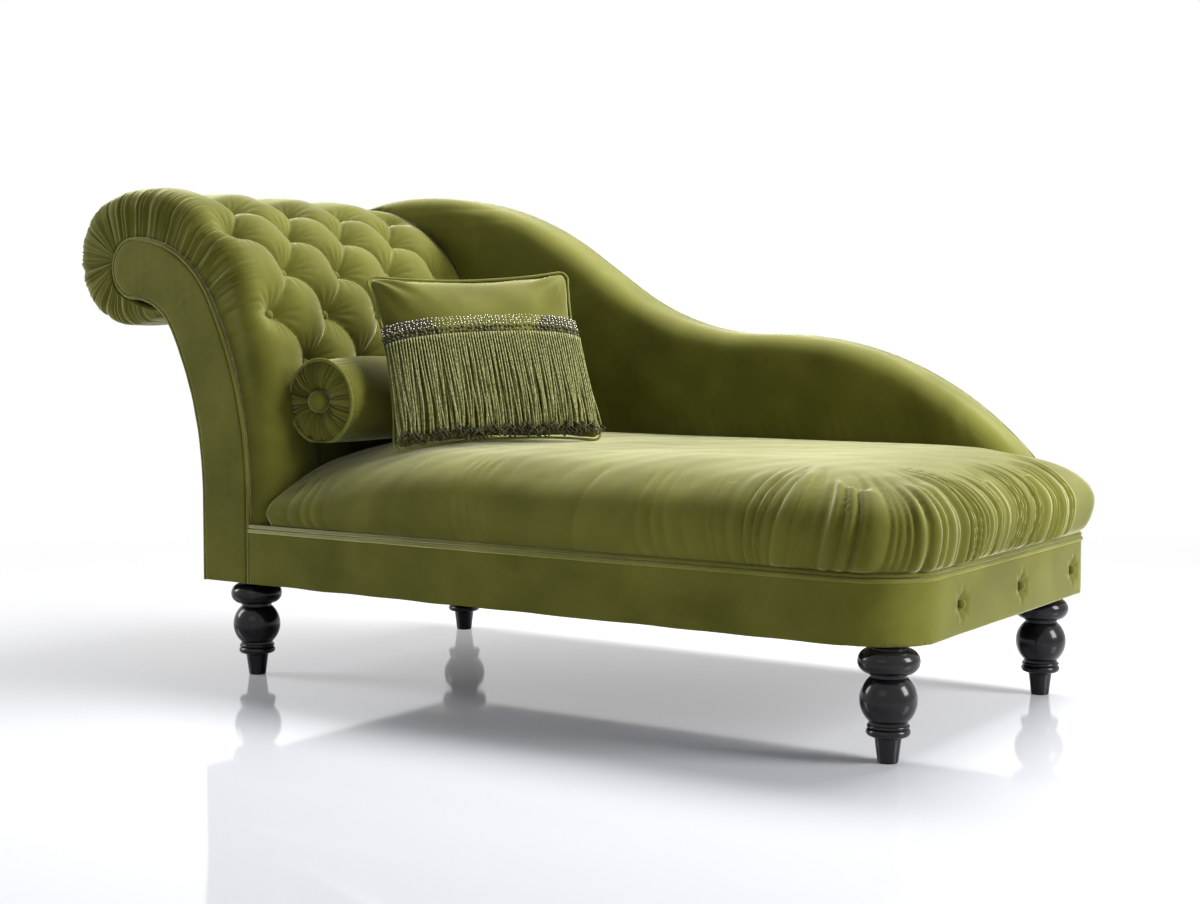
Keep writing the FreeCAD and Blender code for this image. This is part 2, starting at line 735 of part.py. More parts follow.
def band_path(inset, height, end_x):
    """The line round the seat box from the arm seam to the end of the long back."""
    z = float(height)
    r_front = float(cell("front_corner_radius")) - inset
    r_rear = float(cell("rear_corner_radius")) - inset
    y0 = FRONT + inset
    y1 = REAR - inset
    x1 = FOOT - inset
    c_front = Vector(x1 - r_front, y0 + r_front, z)
    c_rear = Vector(x1 - r_rear, y1 - r_rear, z)
    half = math.sqrt(0.5)
    front_middle = c_front + Vector(r_front * half, -r_front * half, 0)
    rear_middle = c_rear + Vector(r_rear * half, r_rear * half, 0)
    return [
        Part.LineSegment(Vector(SEAM + GAP, y0, z), Vector(c_front.x, y0, z)),
        Part.Arc(Vector(c_front.x, y0, z), front_middle, Vector(x1, c_front.y, z)),
        Part.LineSegment(Vector(x1, c_front.y, z), Vector(x1, c_rear.y, z)),
        Part.Arc(Vector(x1, c_rear.y, z), rear_middle, Vector(c_rear.x, y1, z)),
        Part.LineSegment(Vector(c_rear.x, y1, z), Vector(float(end_x), y1, z)),
    ]


BUTTON_Y = (-180.0, 58.0, 290.0)
button_z = float(box_bottom) + 45.0
dimple_radius = 21.0
dimple_depth = 6.0


def rail_cover():
    """The padded band with the foot face's three buttoned dimples."""
    thick = float(cell("cover_thickness"))
    bottom = float(box_bottom)
    end_x = back_end_x + gap
    outer = band_path(0.0, bottom, end_x)
    inner = band_path(thick - GAP / 3.0, bottom, end_x)
    edges = [piece.toShape() for piece in outer + inner]
    for side in (0, -1):
        a = outer[side].StartPoint if side == 0 else outer[side].EndPoint
        b = inner[side].StartPoint if side == 0 else inner[side].EndPoint
        edges.append(Part.LineSegment(a, b).toShape())
    band = Part.Face(Part.Wire(Part.__sortEdges__(edges))).extrude(Vector(0, 0, float(cell("cover_height"))))
    ball = (dimple_radius ** 2 + dimple_depth ** 2) / (2 * dimple_depth)
    dimples = [Part.makeSphere(ball, Vector(FOOT + ball - dimple_depth, y, button_z)) for y in BUTTON_Y]
    shaped("rail_cover", band.cut(dimples))


def dome_button(radius, rise):
    """A covered button: a shallow dome on a short rim, with its flat back on z = 0."""
    rim = rise * 0.35
    ball = (radius ** 2 + (rise - rim) ** 2) / (2 * (rise - rim))
    middle = math.asin(radius / ball) / 2
    dome_side = at(ball * math.sin(middle), rise - ball + ball * math.cos(middle))
    pieces = [
        line(at(0, 0), at(radius, 0)),
        line(at(radius, 0), at(radius, rim)),
        Part.Arc(at(radius, rim), dome_side, at(0, rise)),
        line(at(0, rise), at(0, 0)),
    ]
    return Part.Face(wire_of(pieces)).revolve(Vector(), Vector(0, 0, 1), 360)


def placed(shape, position, normal):
    copy = shape.copy()
    copy.Placement = FreeCAD.Placement(position, FreeCAD.Rotation(Vector(0, 0, 1), normal))
    return copy


def foot_buttons():
    button_radius = 8.5
    button_rise = 4.5
    seat = 1.0
    button = dome_button(button_radius, button_rise)
    places = [Vector(FOOT - dimple_depth + seat, y, button_z) for y in BUTTON_Y]
    shaped("foot_buttons", Part.Compound([placed(button, place, Vector(1, 0, 0)) for place in places]))


def seat_piping():
    radius = cell("seat_piping_radius")
    inset = float(radius) + 0.35
    path = band_path(inset, cover_top + radius + gap, back_end_x + gap)
    shaped("seat_piping", tube(path, radius))


def seat_webbing():
    """Woven straps tacked on the rails, crossing in one plane."""
    inset = 4.0
    rear_hold = 12.0
    low = (seam_x + inset, rail_front_y + inset, cover_top)
    high = (rail_foot_x - inset, rear_rail_y + rear_hold, web_top)
    sheet_box = box("webbing_sheet", low, high)
    strap = 50.0
    across = 9
    along = 5
    x0, y0, z0 = (float(v) for v in low)
    x1, y1, z1 = (float(v) for v in high)
    pitch_x = (x1 - x0 - strap) / across
    pitch_y = (y1 - y0 - strap) / along
    gaps = []
    for i in range(across):
        for j in range(along):
            start = Vector(x0 + strap + i * pitch_x, y0 + strap + j * pitch_y, z0 - 1.0)
            gaps.append(Part.makeBox(pitch_x - strap, pitch_y - strap, z1 - z0 + 2.0, start))
    tool = doc.addObject("Part::Feature", "webbing_gaps")
    tool.Shape = Part.Compound(gaps)
    corner = doc.addObject("Part::Feature", "webbing_corner")
    r = float(cell("front_corner_radius"))
    corner.Shape = Part.makeBox(r, r, 10.0, Vector(FOOT - r, FRONT, z0 - 1.0))
    keep(cut("seat_webbing", sheet_box, [tool, corner]), "seat_webbing")


# rise above the piping as a share, then the draw-in at the front, at the head end of the
# front, at the foot and at the rear
CROWN = [
    (0.00, 4.0, 6.5, 4.0, 4.0),
    (0.10, -8.0, -3.0, -8.0, -8.0),
    (0.26, -14.0, 4.0, -15.0, -14.0),
    (0.46, -12.0, 58.0, -16.0, -12.0),
    (0.64, 4.0, 122.0, 0.0, 8.0),
    (0.78, 32.0, 210.0, 28.0, 30.0),
    (0.88, 68.0, 320.0, 66.0, 60.0),
    (0.95, 116.0, 440.0, 112.0, 85.0),
    (0.99, 175.0, 520.0, 172.0, 103.0),
    (1.00, 235.0, 560.0, 240.0, 120.0),
]


def crown_section(z, front, head, foot, rear):
    """One level of the seat's crown: its front edge bends back towards the head."""
    head_x = pad_x + GAP
    y_front = FRONT + front
    y_head = FRONT + head
    y_rear = REAR - rear
    x_foot = FOOT - foot
    bend_x = head_x + float(cell("tuck_run"))
    run = bend_x - head_x
    depth = y_head - y_front
    radius = (run ** 2 + depth ** 2) / (2 * depth)
    centre = Vector(bend_x, y_front + radius, z)
    half_turn = math.asin(run / radius) / 2 if depth <= radius else (math.pi - math.asin(run / radius)) / 2
    middle = centre + Vector(-radius * math.sin(half_turn), -radius * math.cos(half_turn), 0)
    r_front = float(cell("front_corner_radius")) + max(0.0, foot) * 0.2
    r_rear = float(cell("rear_corner_radius")) + max(0.0, foot) * 0.3
    half = math.sqrt(0.5)
    c_front = Vector(x_foot - r_front, y_front + r_front, z)
    c_rear = Vector(x_foot - r_rear, y_rear - r_rear, z)
    corners = [
        Vector(head_x, y_head, z),
        Vector(bend_x, y_front, z),
        Vector(c_front.x, y_front, z),
        Vector(x_foot, c_front.y, z),
        Vector(x_foot, c_rear.y, z),
        Vector(c_rear.x, y_rear, z),
        Vector(head_x, y_rear, z),
    ]
    pieces = [
        Part.Arc(corners[0], middle, corners[1]),
        Part.LineSegment(corners[1], corners[2]),
        Part.Arc(corners[2], c_front + Vector(r_front * half, -r_front * half, 0), corners[3]),
        Part.LineSegment(corners[3], corners[4]),
        Part.Arc(corners[4], c_rear + Vector(r_rear * half, r_rear * half, 0), corners[5]),
        Part.LineSegment(corners[5], corners[6]),
        Part.LineSegment(corners[6], corners[0]),
    ]
    return Part.Wire([piece.toShape() for piece in pieces])


def back_solid(grow=0.0):
    """The long back's soft form: camel line, rolled front edge and a cut for the head pad."""
    block = prism(back_block(pad_bottom, grow), back_face_y - grow, board_rear_y)
    rolled = rounded(block, back_face_y - grow, cell("back_edge_radius"))
    head = prism(pad_block(float(pad_bottom) - HEAD_BELOW, GAP), FRONT, REAR)
    return rolled.cut(head)


def foam_box(grow):
    """The seat's foam core, or the room for it when grown."""
    border = float(cell("foam_border"))
    front_extra = 12.0
    back_gap = 20.0
    foam_corner = 30.0
    low = Vector(pad_x + border - grow, FRONT + border + front_extra - grow, float(pad_bottom))
    top = float(pad_bottom) + float(cell("foam_height")) + grow
    high = Vector(FOOT - border + grow, float(back_face_y) - back_gap + grow, top)
    block = Part.makeBox(high.x - low.x, high.y - low.y, high.z - low.z, low)
    upright = [edge for edge in block.Edges if edge.BoundBox.ZLength > 10.0]
    return block.makeFillet(foam_corner, upright)


def seat():
    piping_top = float(cover_top) + 2 * float(cell("seat_piping_radius")) + 2 * GAP
    trimmed = 1.0
    rise_all = float(cell("seat_top")) + trimmed - piping_top
    levels = [crown_section(piping_top + share * rise_all, *draws) for share, *draws in CROWN]
    crown = Part.makeLoft(levels, True, False)
    inset = float(cell("cover_thickness"))
    foot_path = [piece.toShape() for piece in band_path(inset, pad_bottom, pad_x + GAP)]
    start = foot_path[0].Vertexes[0].Point
    head_corner = Vector(pad_x + GAP, start.y, start.z)
    end = foot_path[-1].Vertexes[-1].Point
    foot_path[0] = Part.LineSegment(head_corner, foot_path[0].Vertexes[-1].Point).toShape()
    foot_path.append(Part.LineSegment(end, head_corner).toShape())
    plinth_face = Part.Face(Part.Wire(Part.__sortEdges__(foot_path)))
    plinth = plinth_face.extrude(Vector(0, 0, piping_top - float(pad_bottom)))
    pad = crown.fuse(plinth).removeSplitter()
    back = back_solid(GAP)
    behind = prism(back_block(pad_bottom, GAP), board_rear_y, REAR + 60.0)
    rail_end = Part.makeBox(float(back_end_x) + GAP - (pad_x - 10.0), float(cell("back_thickness")), 100.0,
                            Vector(pad_x - 10.0, float(back_face_y) - GAP, float(web_top) - 50.0))
    above = Part.makeBox(2.0 * FOOT, 2.0 * REAR, 100.0, Vector(-FOOT, -REAR, float(cell("seat_top"))))
    pad = pad.cut([back, behind, rail_end, above, foam_box(GAP)])
    shaped("seat_pad", pad)
    shaped("seat_foam", foam_box(0.0))


# Head

def scroll_sides():
    front = slab("scroll_side_front", panel_outline(rail_bottom), panel_inner_front, cell("panel_thickness"))
    rear = slab("scroll_side_rear", panel_outline(rail_bottom), side_rear_y, cell("panel_thickness"))
    keep(front, "scroll_side_front")
    keep(rear, "scroll_side_rear")


def scroll_facings():
    inset = 2 * float(cell("scroll_piping_radius")) + GAP
    thick = cell("facing_thickness")
    front = slab("scroll_facing_front", panel_outline(box_bottom, inset), side_front_y, thick)
    rear = slab("scroll_facing_rear", panel_outline(box_bottom, inset), rear_y, thick)
    keep(front, "scroll_facing_front")
    keep(rear, "scroll_facing_rear")
    radius = cell("scroll_piping_radius")
    cord = tube(panel_edge(box_bottom, float(radius)), radius)
    off = float(cell("facing_thickness")) - float(radius) - GAP
    shaped("scroll_piping_front", moved(cord, y=float(side_front_y) - off))
    shaped("scroll_piping_rear", moved(cord, y=float(side_rear_y) + off))


def head_rails():
    """Timbers that tie the scroll sides together."""
    thick = cell("rail_thickness")
    outer = box("head_outer_rail", (arm_x, panel_inner_front, rail_bottom),
                (arm_x + thick, panel_inner_rear, rail_bottom + cell("outer_rail_height")))
    keep(outer, "head_outer_rail")
    top = doc.addObject("Part::Cylinder", "head_top_rail")
    top.setExpression("Radius", (cell("arm_thickness") / 2 - cell("liner_thickness") - gap).words)
    top.setExpression("Height", (panel_inner_rear - panel_inner_front).words)
    top.Placement = FreeCAD.Placement(Vector(roll_centre.x, float(panel_inner_front), roll_centre.z),
                                      FreeCAD.Rotation(Vector(1, 0, 0), -90))
    keep(top, "head_top_rail")
    battens = []
    width = float(cell("batten_width"))
    low_share = 0.1
    high_share = 0.75
    for number, angle in enumerate((sweep_angle * low_share, sweep_angle * high_share)):
        batten = doc.addObject("Part::Box", "head_batten_%d" % number)
        batten.setExpression("Length", thick.words)
        batten.setExpression("Width", (panel_inner_rear - panel_inner_front).words)
        batten.setExpression("Height", cell("batten_width").words)
        inner = sweep_radius - float(cell("liner_thickness")) - 1.0 - float(thick)
        turn = FreeCAD.Rotation(Vector(0, 1, 0), -angle)
        spot = polar(sweep_centre, inner, angle)
        corner = spot + turn.multVec(Vector(0, 0, -width / 2))
        batten.Placement = FreeCAD.Placement(Vector(corner.x, float(panel_inner_front), corner.z), turn)
        battens.append(batten)
    group("head_battens", battens)


def head_liner():
    """Bent plywood over the edges of the rails, flush with the scroll sides."""
    thick = float(cell("liner_thickness"))
    bottom = float(cover_top)
    start = line(at(SEAM - thick, bottom), at(SEAM, bottom))
    outline = [
        start,
        line(at(SEAM, bottom), at(SEAM, sweep_z)),
        arc(sweep_centre, sweep_radius, 0.0, sweep_angle),
        arc(bend_centre, bend_radius, sweep_angle, 90.0),
        arc(roll_centre, roll_radius, 90.0, 200.0),
        line(polar(roll_centre, roll_radius, 200.0), polar(roll_centre, roll_radius - thick, 200.0)),
        arc(roll_centre, roll_radius - thick, 200.0, 90.0),
        arc(bend_centre, bend_radius - thick, 90.0, sweep_angle),
        arc(sweep_centre, sweep_radius - thick, sweep_angle, 0.0),
        line(at(SEAM - thick, sweep_z), at(SEAM - thick, bottom)),
    ]
    body = slab("head_liner", outline, panel_inner_rear, panel_inner_rear - panel_inner_front)
    keep(body, "head_liner")


def head_outside():
    """Cloth and lining on the outer side of the head, up to the tuck under the roll."""
    thick = float(cell("outside_thickness"))
    low = float(box_bottom)
    reach = tuck_angle - 3.0
    inner_bend = bend_radius - BAND
    inner_sweep = sweep_radius - BAND
    outline = [
        line(at(ARM, low), at(ARM, sweep_z)),
        arc(sweep_centre, inner_sweep, 0.0, sweep_angle),
        arc(bend_centre, inner_bend, sweep_angle, reach),
        line(polar(bend_centre, inner_bend, reach), polar(bend_centre, inner_bend - thick, reach)),
        arc(bend_centre, inner_bend - thick, reach, sweep_angle),
        arc(sweep_centre, inner_sweep - thick, sweep_angle, 0.0),
        line(at(ARM - thick, sweep_z), at(ARM - thick, low)),
        line(at(ARM - thick, low), at(ARM, low)),
    ]
    body = slab("head_outside", outline, side_rear_y, side_rear_y - side_front_y)
    keep(body, "head_outside")


TUFT_FIRST = 31.0
TUFT_ROWS = range(-1, 4)
dimple_floor = 11.0
dimple_mouth = 29.0
dimple_sink = 15.0
dimple_lift = 4.0
groove_depth = 10.0
groove_half = 12.0
groove_lift = 6.0


def tuft_columns(row):
    """Across places of a row's buttons; every second row is shifted by half a column."""
    column = float(cell("tuft_column"))
    first = FRONT + (77.5 if row % 2 == 0 else 77.5 + column / 2)
    last = float(back_face_y) - 30.0
    places = []
    place = first
    while place < last:
        places.append(place)
        place += column
    return places


def tuft_points():
    """Row number, across place, surface point and normal of every button."""
    points = []
    for row in TUFT_ROWS:
        spot, normal = pad_station(TUFT_FIRST + row * float(cell("tuft_row")))
        for y in tuft_columns(row):
            points.append((row, y, Vector(spot.x, y, spot.z), normal))
    return points


def groove(start, end, normal):
    """A sewn valley between two buttons: a long wedge that opens outwards."""
    along = end.sub(start)
    heading = Vector(along).normalize()
    up = (normal - heading * normal.dot(heading)).normalize()
    side = heading.cross(up)
    apex = start - up * groove_depth
    left = start + up * groove_lift + side * groove_half
    right = start + up * groove_lift - side * groove_half
    face = Part.Face(Part.makePolygon([apex, left, right, apex]))
    return face.extrude(along)


def pleat(centre, radius, y, start, end):
    """A straight valley over the curve of the pad, between two angles."""
    spot = polar(centre, radius, start)
    up = polar(Vector(), 1.0, start)
    side = Vector(0.0, 1.0, 0.0)
    spot = Vector(spot.x, y, spot.z)
    corners = [spot - up * (groove_depth * 0.8), spot + up * groove_lift + side * groove_half,
               spot + up * groove_lift - side * groove_half]
    face = Part.Face(Part.makePolygon(corners + corners[:1]))
    axis = Vector(0.0, -1.0, 0.0)
    return face.revolve(Vector(centre.x, y, centre.z), axis, end - start)


def tuft_cutters():
    points = tuft_points()
    column = float(cell("tuft_column"))
    cutters = []
    for row, y, spot, normal in points:
        cutters.append(Part.makeCone(dimple_floor, dimple_mouth, dimple_sink + dimple_lift,
                                     spot - normal * dimple_sink, normal))
        for other_row, other_y, other, other_normal in points:
            if other_row == row + 1 and abs(abs(other_y - y) - column / 2) < 1.0:
                cutters.append(groove(spot, other, (normal + other_normal).normalize()))
    top_row = max(TUFT_ROWS)
    top_angle = slope_angle + math.degrees((TUFT_FIRST + top_row * float(cell("tuft_row"))) / crest_radius)
    low_row = min(TUFT_ROWS)
    low_angle = slope_angle + math.degrees((TUFT_FIRST + low_row * float(cell("tuft_row"))) / slope_radius)
    inside_dimple = 12.0
    top_start = top_angle + math.degrees(inside_dimple / crest_radius)
    low_end = low_angle - math.degrees(inside_dimple / slope_radius)
    for y in tuft_columns(top_row):
        cutters.append(pleat(bend_centre, crest_radius, y, top_start, roll_angle))
        cutters.append(pleat(pad_roll_centre, pad_roll, y, roll_angle, 200.0))
    for y in tuft_columns(low_row):
        cutters.append(pleat(slope_centre, slope_radius, y, 4.0, low_end))
    return cutters


def head_pad():
    """The deep-buttoned pad: rounded at both facings, with dimples, valleys and pleats."""
    section = prism(pad_section(pad_bottom), side_front_y, side_rear_y)
    block = prism(pad_block(pad_bottom), side_front_y, side_rear_y)
    envelope = rounded(block, 0.0, cell("pad_edge_radius"), both_faces=True)
    pad = section.common(envelope)
    for cutter in tuft_cutters():
        pad = pad.cut(cutter)
    shaped("head_pad", pad.Solids[0])
    seat_depth = dimple_sink - GAP
    button = dome_button(float(cell("tuft_button_radius")), 5.0)
    buttons = [placed(button, spot - normal * seat_depth, normal) for row, y, spot, normal in tuft_points()]
    shaped("head_buttons", Part.Compound(buttons))


# Long back

BATTEN_X = (-250.0, 90.0, 430.0)
board_wrap = 6.0
outside_wrap = 1.5
back_batten_width = 30.0
back_batten_depth = 22.0
back_batten_drop = 30.0
board_notch_height = 290.0
board_end_room = 5.0
PAST = 10.0


def largest(shape):
    """The biggest solid of a cut that leaves scraps."""
    return sorted(shape.Solids, key=lambda solid: solid.Volume)[-1]


def span(x, y, z):
    """A block between two places along each axis."""
    low = Vector(float(x[0]), float(y[0]), float(z[0]))
    return Part.makeBox(float(x[1]) - low.x, float(y[1]) - low.y, float(z[1]) - low.z, low)


def long_back():
    """The back's plywood board, its battens, the padding over them and the cloth behind."""
    top = float(cell("back_height")) + PAST
    far_left = 2.0 * ARM
    head = prism(pad_block(float(pad_bottom) - HEAD_BELOW, GAP), FRONT, REAR + PAST)
    board = prism(back_block(rail_bottom, -board_wrap), board_front_y, board_rear_y)
    board_y = (board_front_y - PAST, board_rear_y + PAST)
    low_head = span((far_left, SEAM), board_y, (rail_bottom - PAST, rail_bottom + board_notch_height))
    end_z = (box_bottom - board_end_room, cover_top + board_end_room)
    board_end = span((block_x, FOOT + PAST), board_y, end_z)
    board = largest(board.cut([head, low_head])).cut(board_end)
    shaped("back_board", board)
    strip_front = board_front_y - back_batten_depth
    strip_area = prism(back_block(rail_bottom, -board_wrap - back_batten_drop), strip_front, board_front_y)
    battens = []
    for x in BATTEN_X:
        strip_y = (strip_front - PAST, board_front_y + PAST)
        column = span((x, x + back_batten_width), strip_y, (pad_bottom, top))
        battens += strip_area.common(column).Solids
    shaped("back_battens", Part.Compound(battens))
    shaped("back_pad", largest(back_solid().cut([board] + battens)))
    outside = prism(back_block(box_bottom, -outside_wrap), board_rear_y, rear_y)
    outside_y = (board_rear_y - PAST, rear_y + PAST)
    low_left = span((far_left, SEAM + GAP), outside_y, (box_bottom - PAST, pad_bottom))
    shaped("back_outside", largest(outside.cut([head, low_left])))


# Loose pieces

bolster_z = float(cell("seat_top")) + float(cell("bolster_rise"))
bolster_reach = slope_radius + float(cell("bolster_radius")) + GAP
bolster_x = slope_centre.x + math.sqrt(bolster_reach ** 2 - (bolster_z - sweep_z) ** 2)


def bolster():
    """A stuffed roll with gathered ends, piped rims and a covered button at each end."""
    radius = float(cell("bolster_radius"))
    length = float(cell("bolster_length"))
    start = FRONT + float(cell("bolster_front"))
    rim = radius - 4.0
    rim_turn = 4.0
    rim_depth = 6.0
    well = 20.0
    dome = 10.0
    half = length / 2.0
    outline = [
        Part.LineSegment(Vector(0, 0), Vector(well, 0)),
        Part.Arc(Vector(well, 0), Vector((well + rim) / 2, -dome), Vector(rim - rim_turn, 0)),
        Part.LineSegment(Vector(rim - rim_turn, 0), Vector(rim, rim_depth)),
        Part.Arc(Vector(rim, rim_depth), Vector(radius, half), Vector(rim, length - rim_depth)),
        Part.LineSegment(Vector(rim, length - rim_depth), Vector(rim - rim_turn, length)),
        Part.Arc(Vector(rim - rim_turn, length), Vector((well + rim) / 2, length + dome),
                 Vector(well, length)),
        Part.LineSegment(Vector(well, length), Vector(0, length)),
        Part.LineSegment(Vector(0, length), Vector(0, 0)),
    ]
    body = doc.addObject("PartDesign::Body", "bolster_turned")
    sketch = sketch_on(body, "XY_Plane")
    sketch.addGeometry(outline, False)
    for number in range(len(outline)):
        sketch.addConstraint(Sketcher.Constraint("Block", number))
    turning = body.newObject("PartDesign::Revolution", "bolster_turning")
    turning.Profile = sketch
    turning.ReferenceAxis = (sketch, ["V_Axis"])
    turning.Angle = 360.0
    body.Tip = turning
    body.Placement.Base = Vector(bolster_x, start, bolster_z)
    seat_level = float(cell("seat_top")) + GAP
    rest = doc.addObject("Part::Box", "bolster_rest")
    rest.Length = 4 * radius
    rest.Width = 2 * length
    rest.Height = radius
    rest.Placement.Base = Vector(bolster_x - 2 * radius, start - length / 2, seat_level - radius)
    keep(cut("bolster_pad", body, [rest]), "bolster_pad")
    cord = 3.0
    cord_offset = 0.6
    ring = Part.makeTorus(rim - 1.0 + cord / 2, cord, Vector(), Vector(0, 1, 0))
    cut_low = Vector(-2 * radius, -radius, seat_level - radius - bolster_z)
    seat_cut = Part.makeBox(4 * radius, 2 * radius, radius, cut_low)
    ring = ring.cut(seat_cut)
    rings = [moved(ring, bolster_x, start + cord_offset, bolster_z),
             moved(ring, bolster_x, start + length - cord_offset, bolster_z)]
    shaped("bolster_piping", Part.Compound(rings))
    button = dome_button(well - 1.0, 9.0)
    shaped("bolster_buttons", Part.Compound([
        placed(button, Vector(bolster_x, start - GAP, bolster_z), Vector(0, -1, 0)),
        placed(button, Vector(bolster_x, start + length + GAP, bolster_z), Vector(0, 1, 0)),
    ]))


def pillow_section(width, height, corner, sag, level):
    """A rounded square whose four sides are drawn in between its corners."""
    a = width / 2 - corner
    b = height / 2 - corner
    centres = [Vector(a, b, 0), Vector(-a, b, 0), Vector(-a, -b, 0), Vector(a, -b, 0)]
    lift_w = (a ** 2 - sag ** 2) / (2 * sag)
    lift_h = (b ** 2 - sag ** 2) / (2 * sag)
    far_w = b + lift_w
    far_h = a + lift_h
    sides = [Vector(0, far_w, 0), Vector(-far_h, 0, 0), Vector(0, -far_w, 0), Vector(far_h, 0, 0)]
    radii = [lift_w - corner + sag, lift_h - corner + sag] * 2
    pieces = []
    for k in range(4):
        near = centres[k]
        before = sides[k - 1]
        after = sides[k]
        start = near + (before - near).normalize() * corner
        end = near + (after - near).normalize() * corner
        tip = near + ((start - near).normalize() + (end - near).normalize()).normalize() * corner
        pieces.append(Part.Arc(start, tip, end))
        following = centres[(k + 1) % 4]
        next_start = following + (after - following).normalize() * corner
        inward = Vector(-after.x, -after.y, 0).normalize()
        pieces.append(Part.Arc(end, after + inward * radii[k], next_start))
    shapes = []
    for piece in pieces:
        shape = piece.toShape()
        shape.translate(Vector(0, 0, level))
        shapes.append(shape)
    return Part.Wire(shapes)


# share of the half depth, draw-in from the edge, corner radius and sag of the sides
PILLOW = [
    (0.00, 0.0, 12.0, 13.0),
    (0.22, 9.0, 16.0, 12.0),
    (0.50, 30.0, 24.0, 10.0),
    (0.76, 62.0, 30.0, 8.0),
    (0.93, 92.0, 26.0, 5.0),
    (1.00, 122.0, 20.0, 2.0),
]


def pillow(grow=0.0):
    """A crowned cushion with knife edges, standing in the plane z = 0."""
    width = float(cell("cushion_width")) + 2 * grow
    height = float(cell("cushion_height")) + 2 * grow
    half = float(cell("cushion_depth")) / 2 + grow
    halves = []
    for side in (1.0, -1.0):
        levels = [pillow_section(width - 2 * draw, height - 2 * draw, corner, sag, side * share * half)
                  for share, draw, corner, sag in PILLOW]
        halves.append(Part.makeLoft(levels, True, False))
    return halves[0].fuse(halves[1])


cushion_turn = 52.2
cushion_lean = 29.8
cushion_roll = 2.1
cushion_foot = Vector(-38.0, -134.0, 0.0)
cushion_lift = -1.0


def cushion_place():
    """Where the cushion's own centre and axes lie as it leans on the bolster."""
    turn = FreeCAD.Rotation(Vector(0, 0, 1), cushion_turn)
    stand = FreeCAD.Rotation(Vector(1, 0, 0), 90.0 - cushion_lean)
    roll = FreeCAD.Rotation(Vector(0, 0, 1), cushion_roll)
    rotation = turn.multiply(stand).multiply(roll)
    up = rotation.multVec(Vector(0, 1, 0))
    base = cushion_foot + Vector(0, 0, float(cell("seat_top")) + cushion_lift)
    return FreeCAD.Placement(base + up * (float(cell("cushion_height")) / 2), rotation)


def cushion():
    width = float(cell("cushion_width"))
    height = float(cell("cushion_height"))
    place = cushion_place()
    pad = pillow()
    cord = 2.2
    out = cord + GAP
    share, draw, corner, sag = PILLOW[0]
    outline = pillow_section(width + 2 * out, height + 2 * out, corner + out, sag, 0.0)
    first = outline.Edges[0]
    start = first.valueAt(first.FirstParameter)
    section = Part.Wire([Part.makeCircle(cord, start, first.tangentAt(first.FirstParameter))])
    piping = outline.makePipeShell([section], True, False)
    shaped("cushion_pad", pad, place)
    shaped("cushion_piping", piping, place)
    band_low = 22.0
    band_high = 60.0
    side = 14.0
    bottom_edge = 8.0
    face_start = 6.0
    reach = float(cell("cushion_depth"))
    braid_thickness = 3.0
    fringe_thickness = 7.0
    wide = width - 2 * side
    skin = pillow(braid_thickness + GAP)
    core = pillow(GAP)
    band = Part.makeBox(wide, band_high - band_low, reach, Vector(-wide / 2, band_low, face_start))
    shaped("cushion_braid", skin.common(band).cut(core), place)
    hair = pillow(fringe_thickness + GAP)
    low = -height / 2 + bottom_edge
    fall = Part.makeBox(wide, band_low - GAP - low, reach, Vector(-wide / 2, low, face_start))
    shaped("cushion_fringe", hair.common(fall).cut(core), place)


# Build, check and write

rails()
corner_blocks()
head_leg_blocks()
corner_braces()
legs()
dust_cover()
rail_cover()
foot_buttons()
seat_piping()
seat_webbing()
seat()
scroll_sides()
scroll_facings()
head_rails()
head_liner()
head_outside()
head_pad()
long_back()
bolster()
cushion()
doc.recompute()

for thing in doc.Objects:
    if "Invalid" in thing.State or "Error" in thing.State:
        raise ValueError("%s failed to build" % thing.Label)
for thing in nodes:
    shape = thing.Shape
    if shape.isNull() or not shape.isValid() or not shape.Solids:
        raise ValueError("%s has no valid solid" % thing.Label)
for thing in nodes:
    thing.Shape.exportStep("parts/%s.step" % thing.Label)
    print(thing.Label, len(thing.Shape.Solids), round(thing.Shape.Volume / 1000.0, 1), "cm3")
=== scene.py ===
# %% [markdown]
# A scrolled chaise longue, dressed piece by piece.
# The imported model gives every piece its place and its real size, in metres, with +Z up.
# Each soft piece of the model is a plain form. Here it gets the cloth, the folds and the sewing that show.
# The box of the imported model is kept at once, so that the dressed chaise can be compared with it at the end.

# %% Load the frame
import json
import math

import bmesh
import bpy
import numpy as np
from mathutils import Matrix, Vector


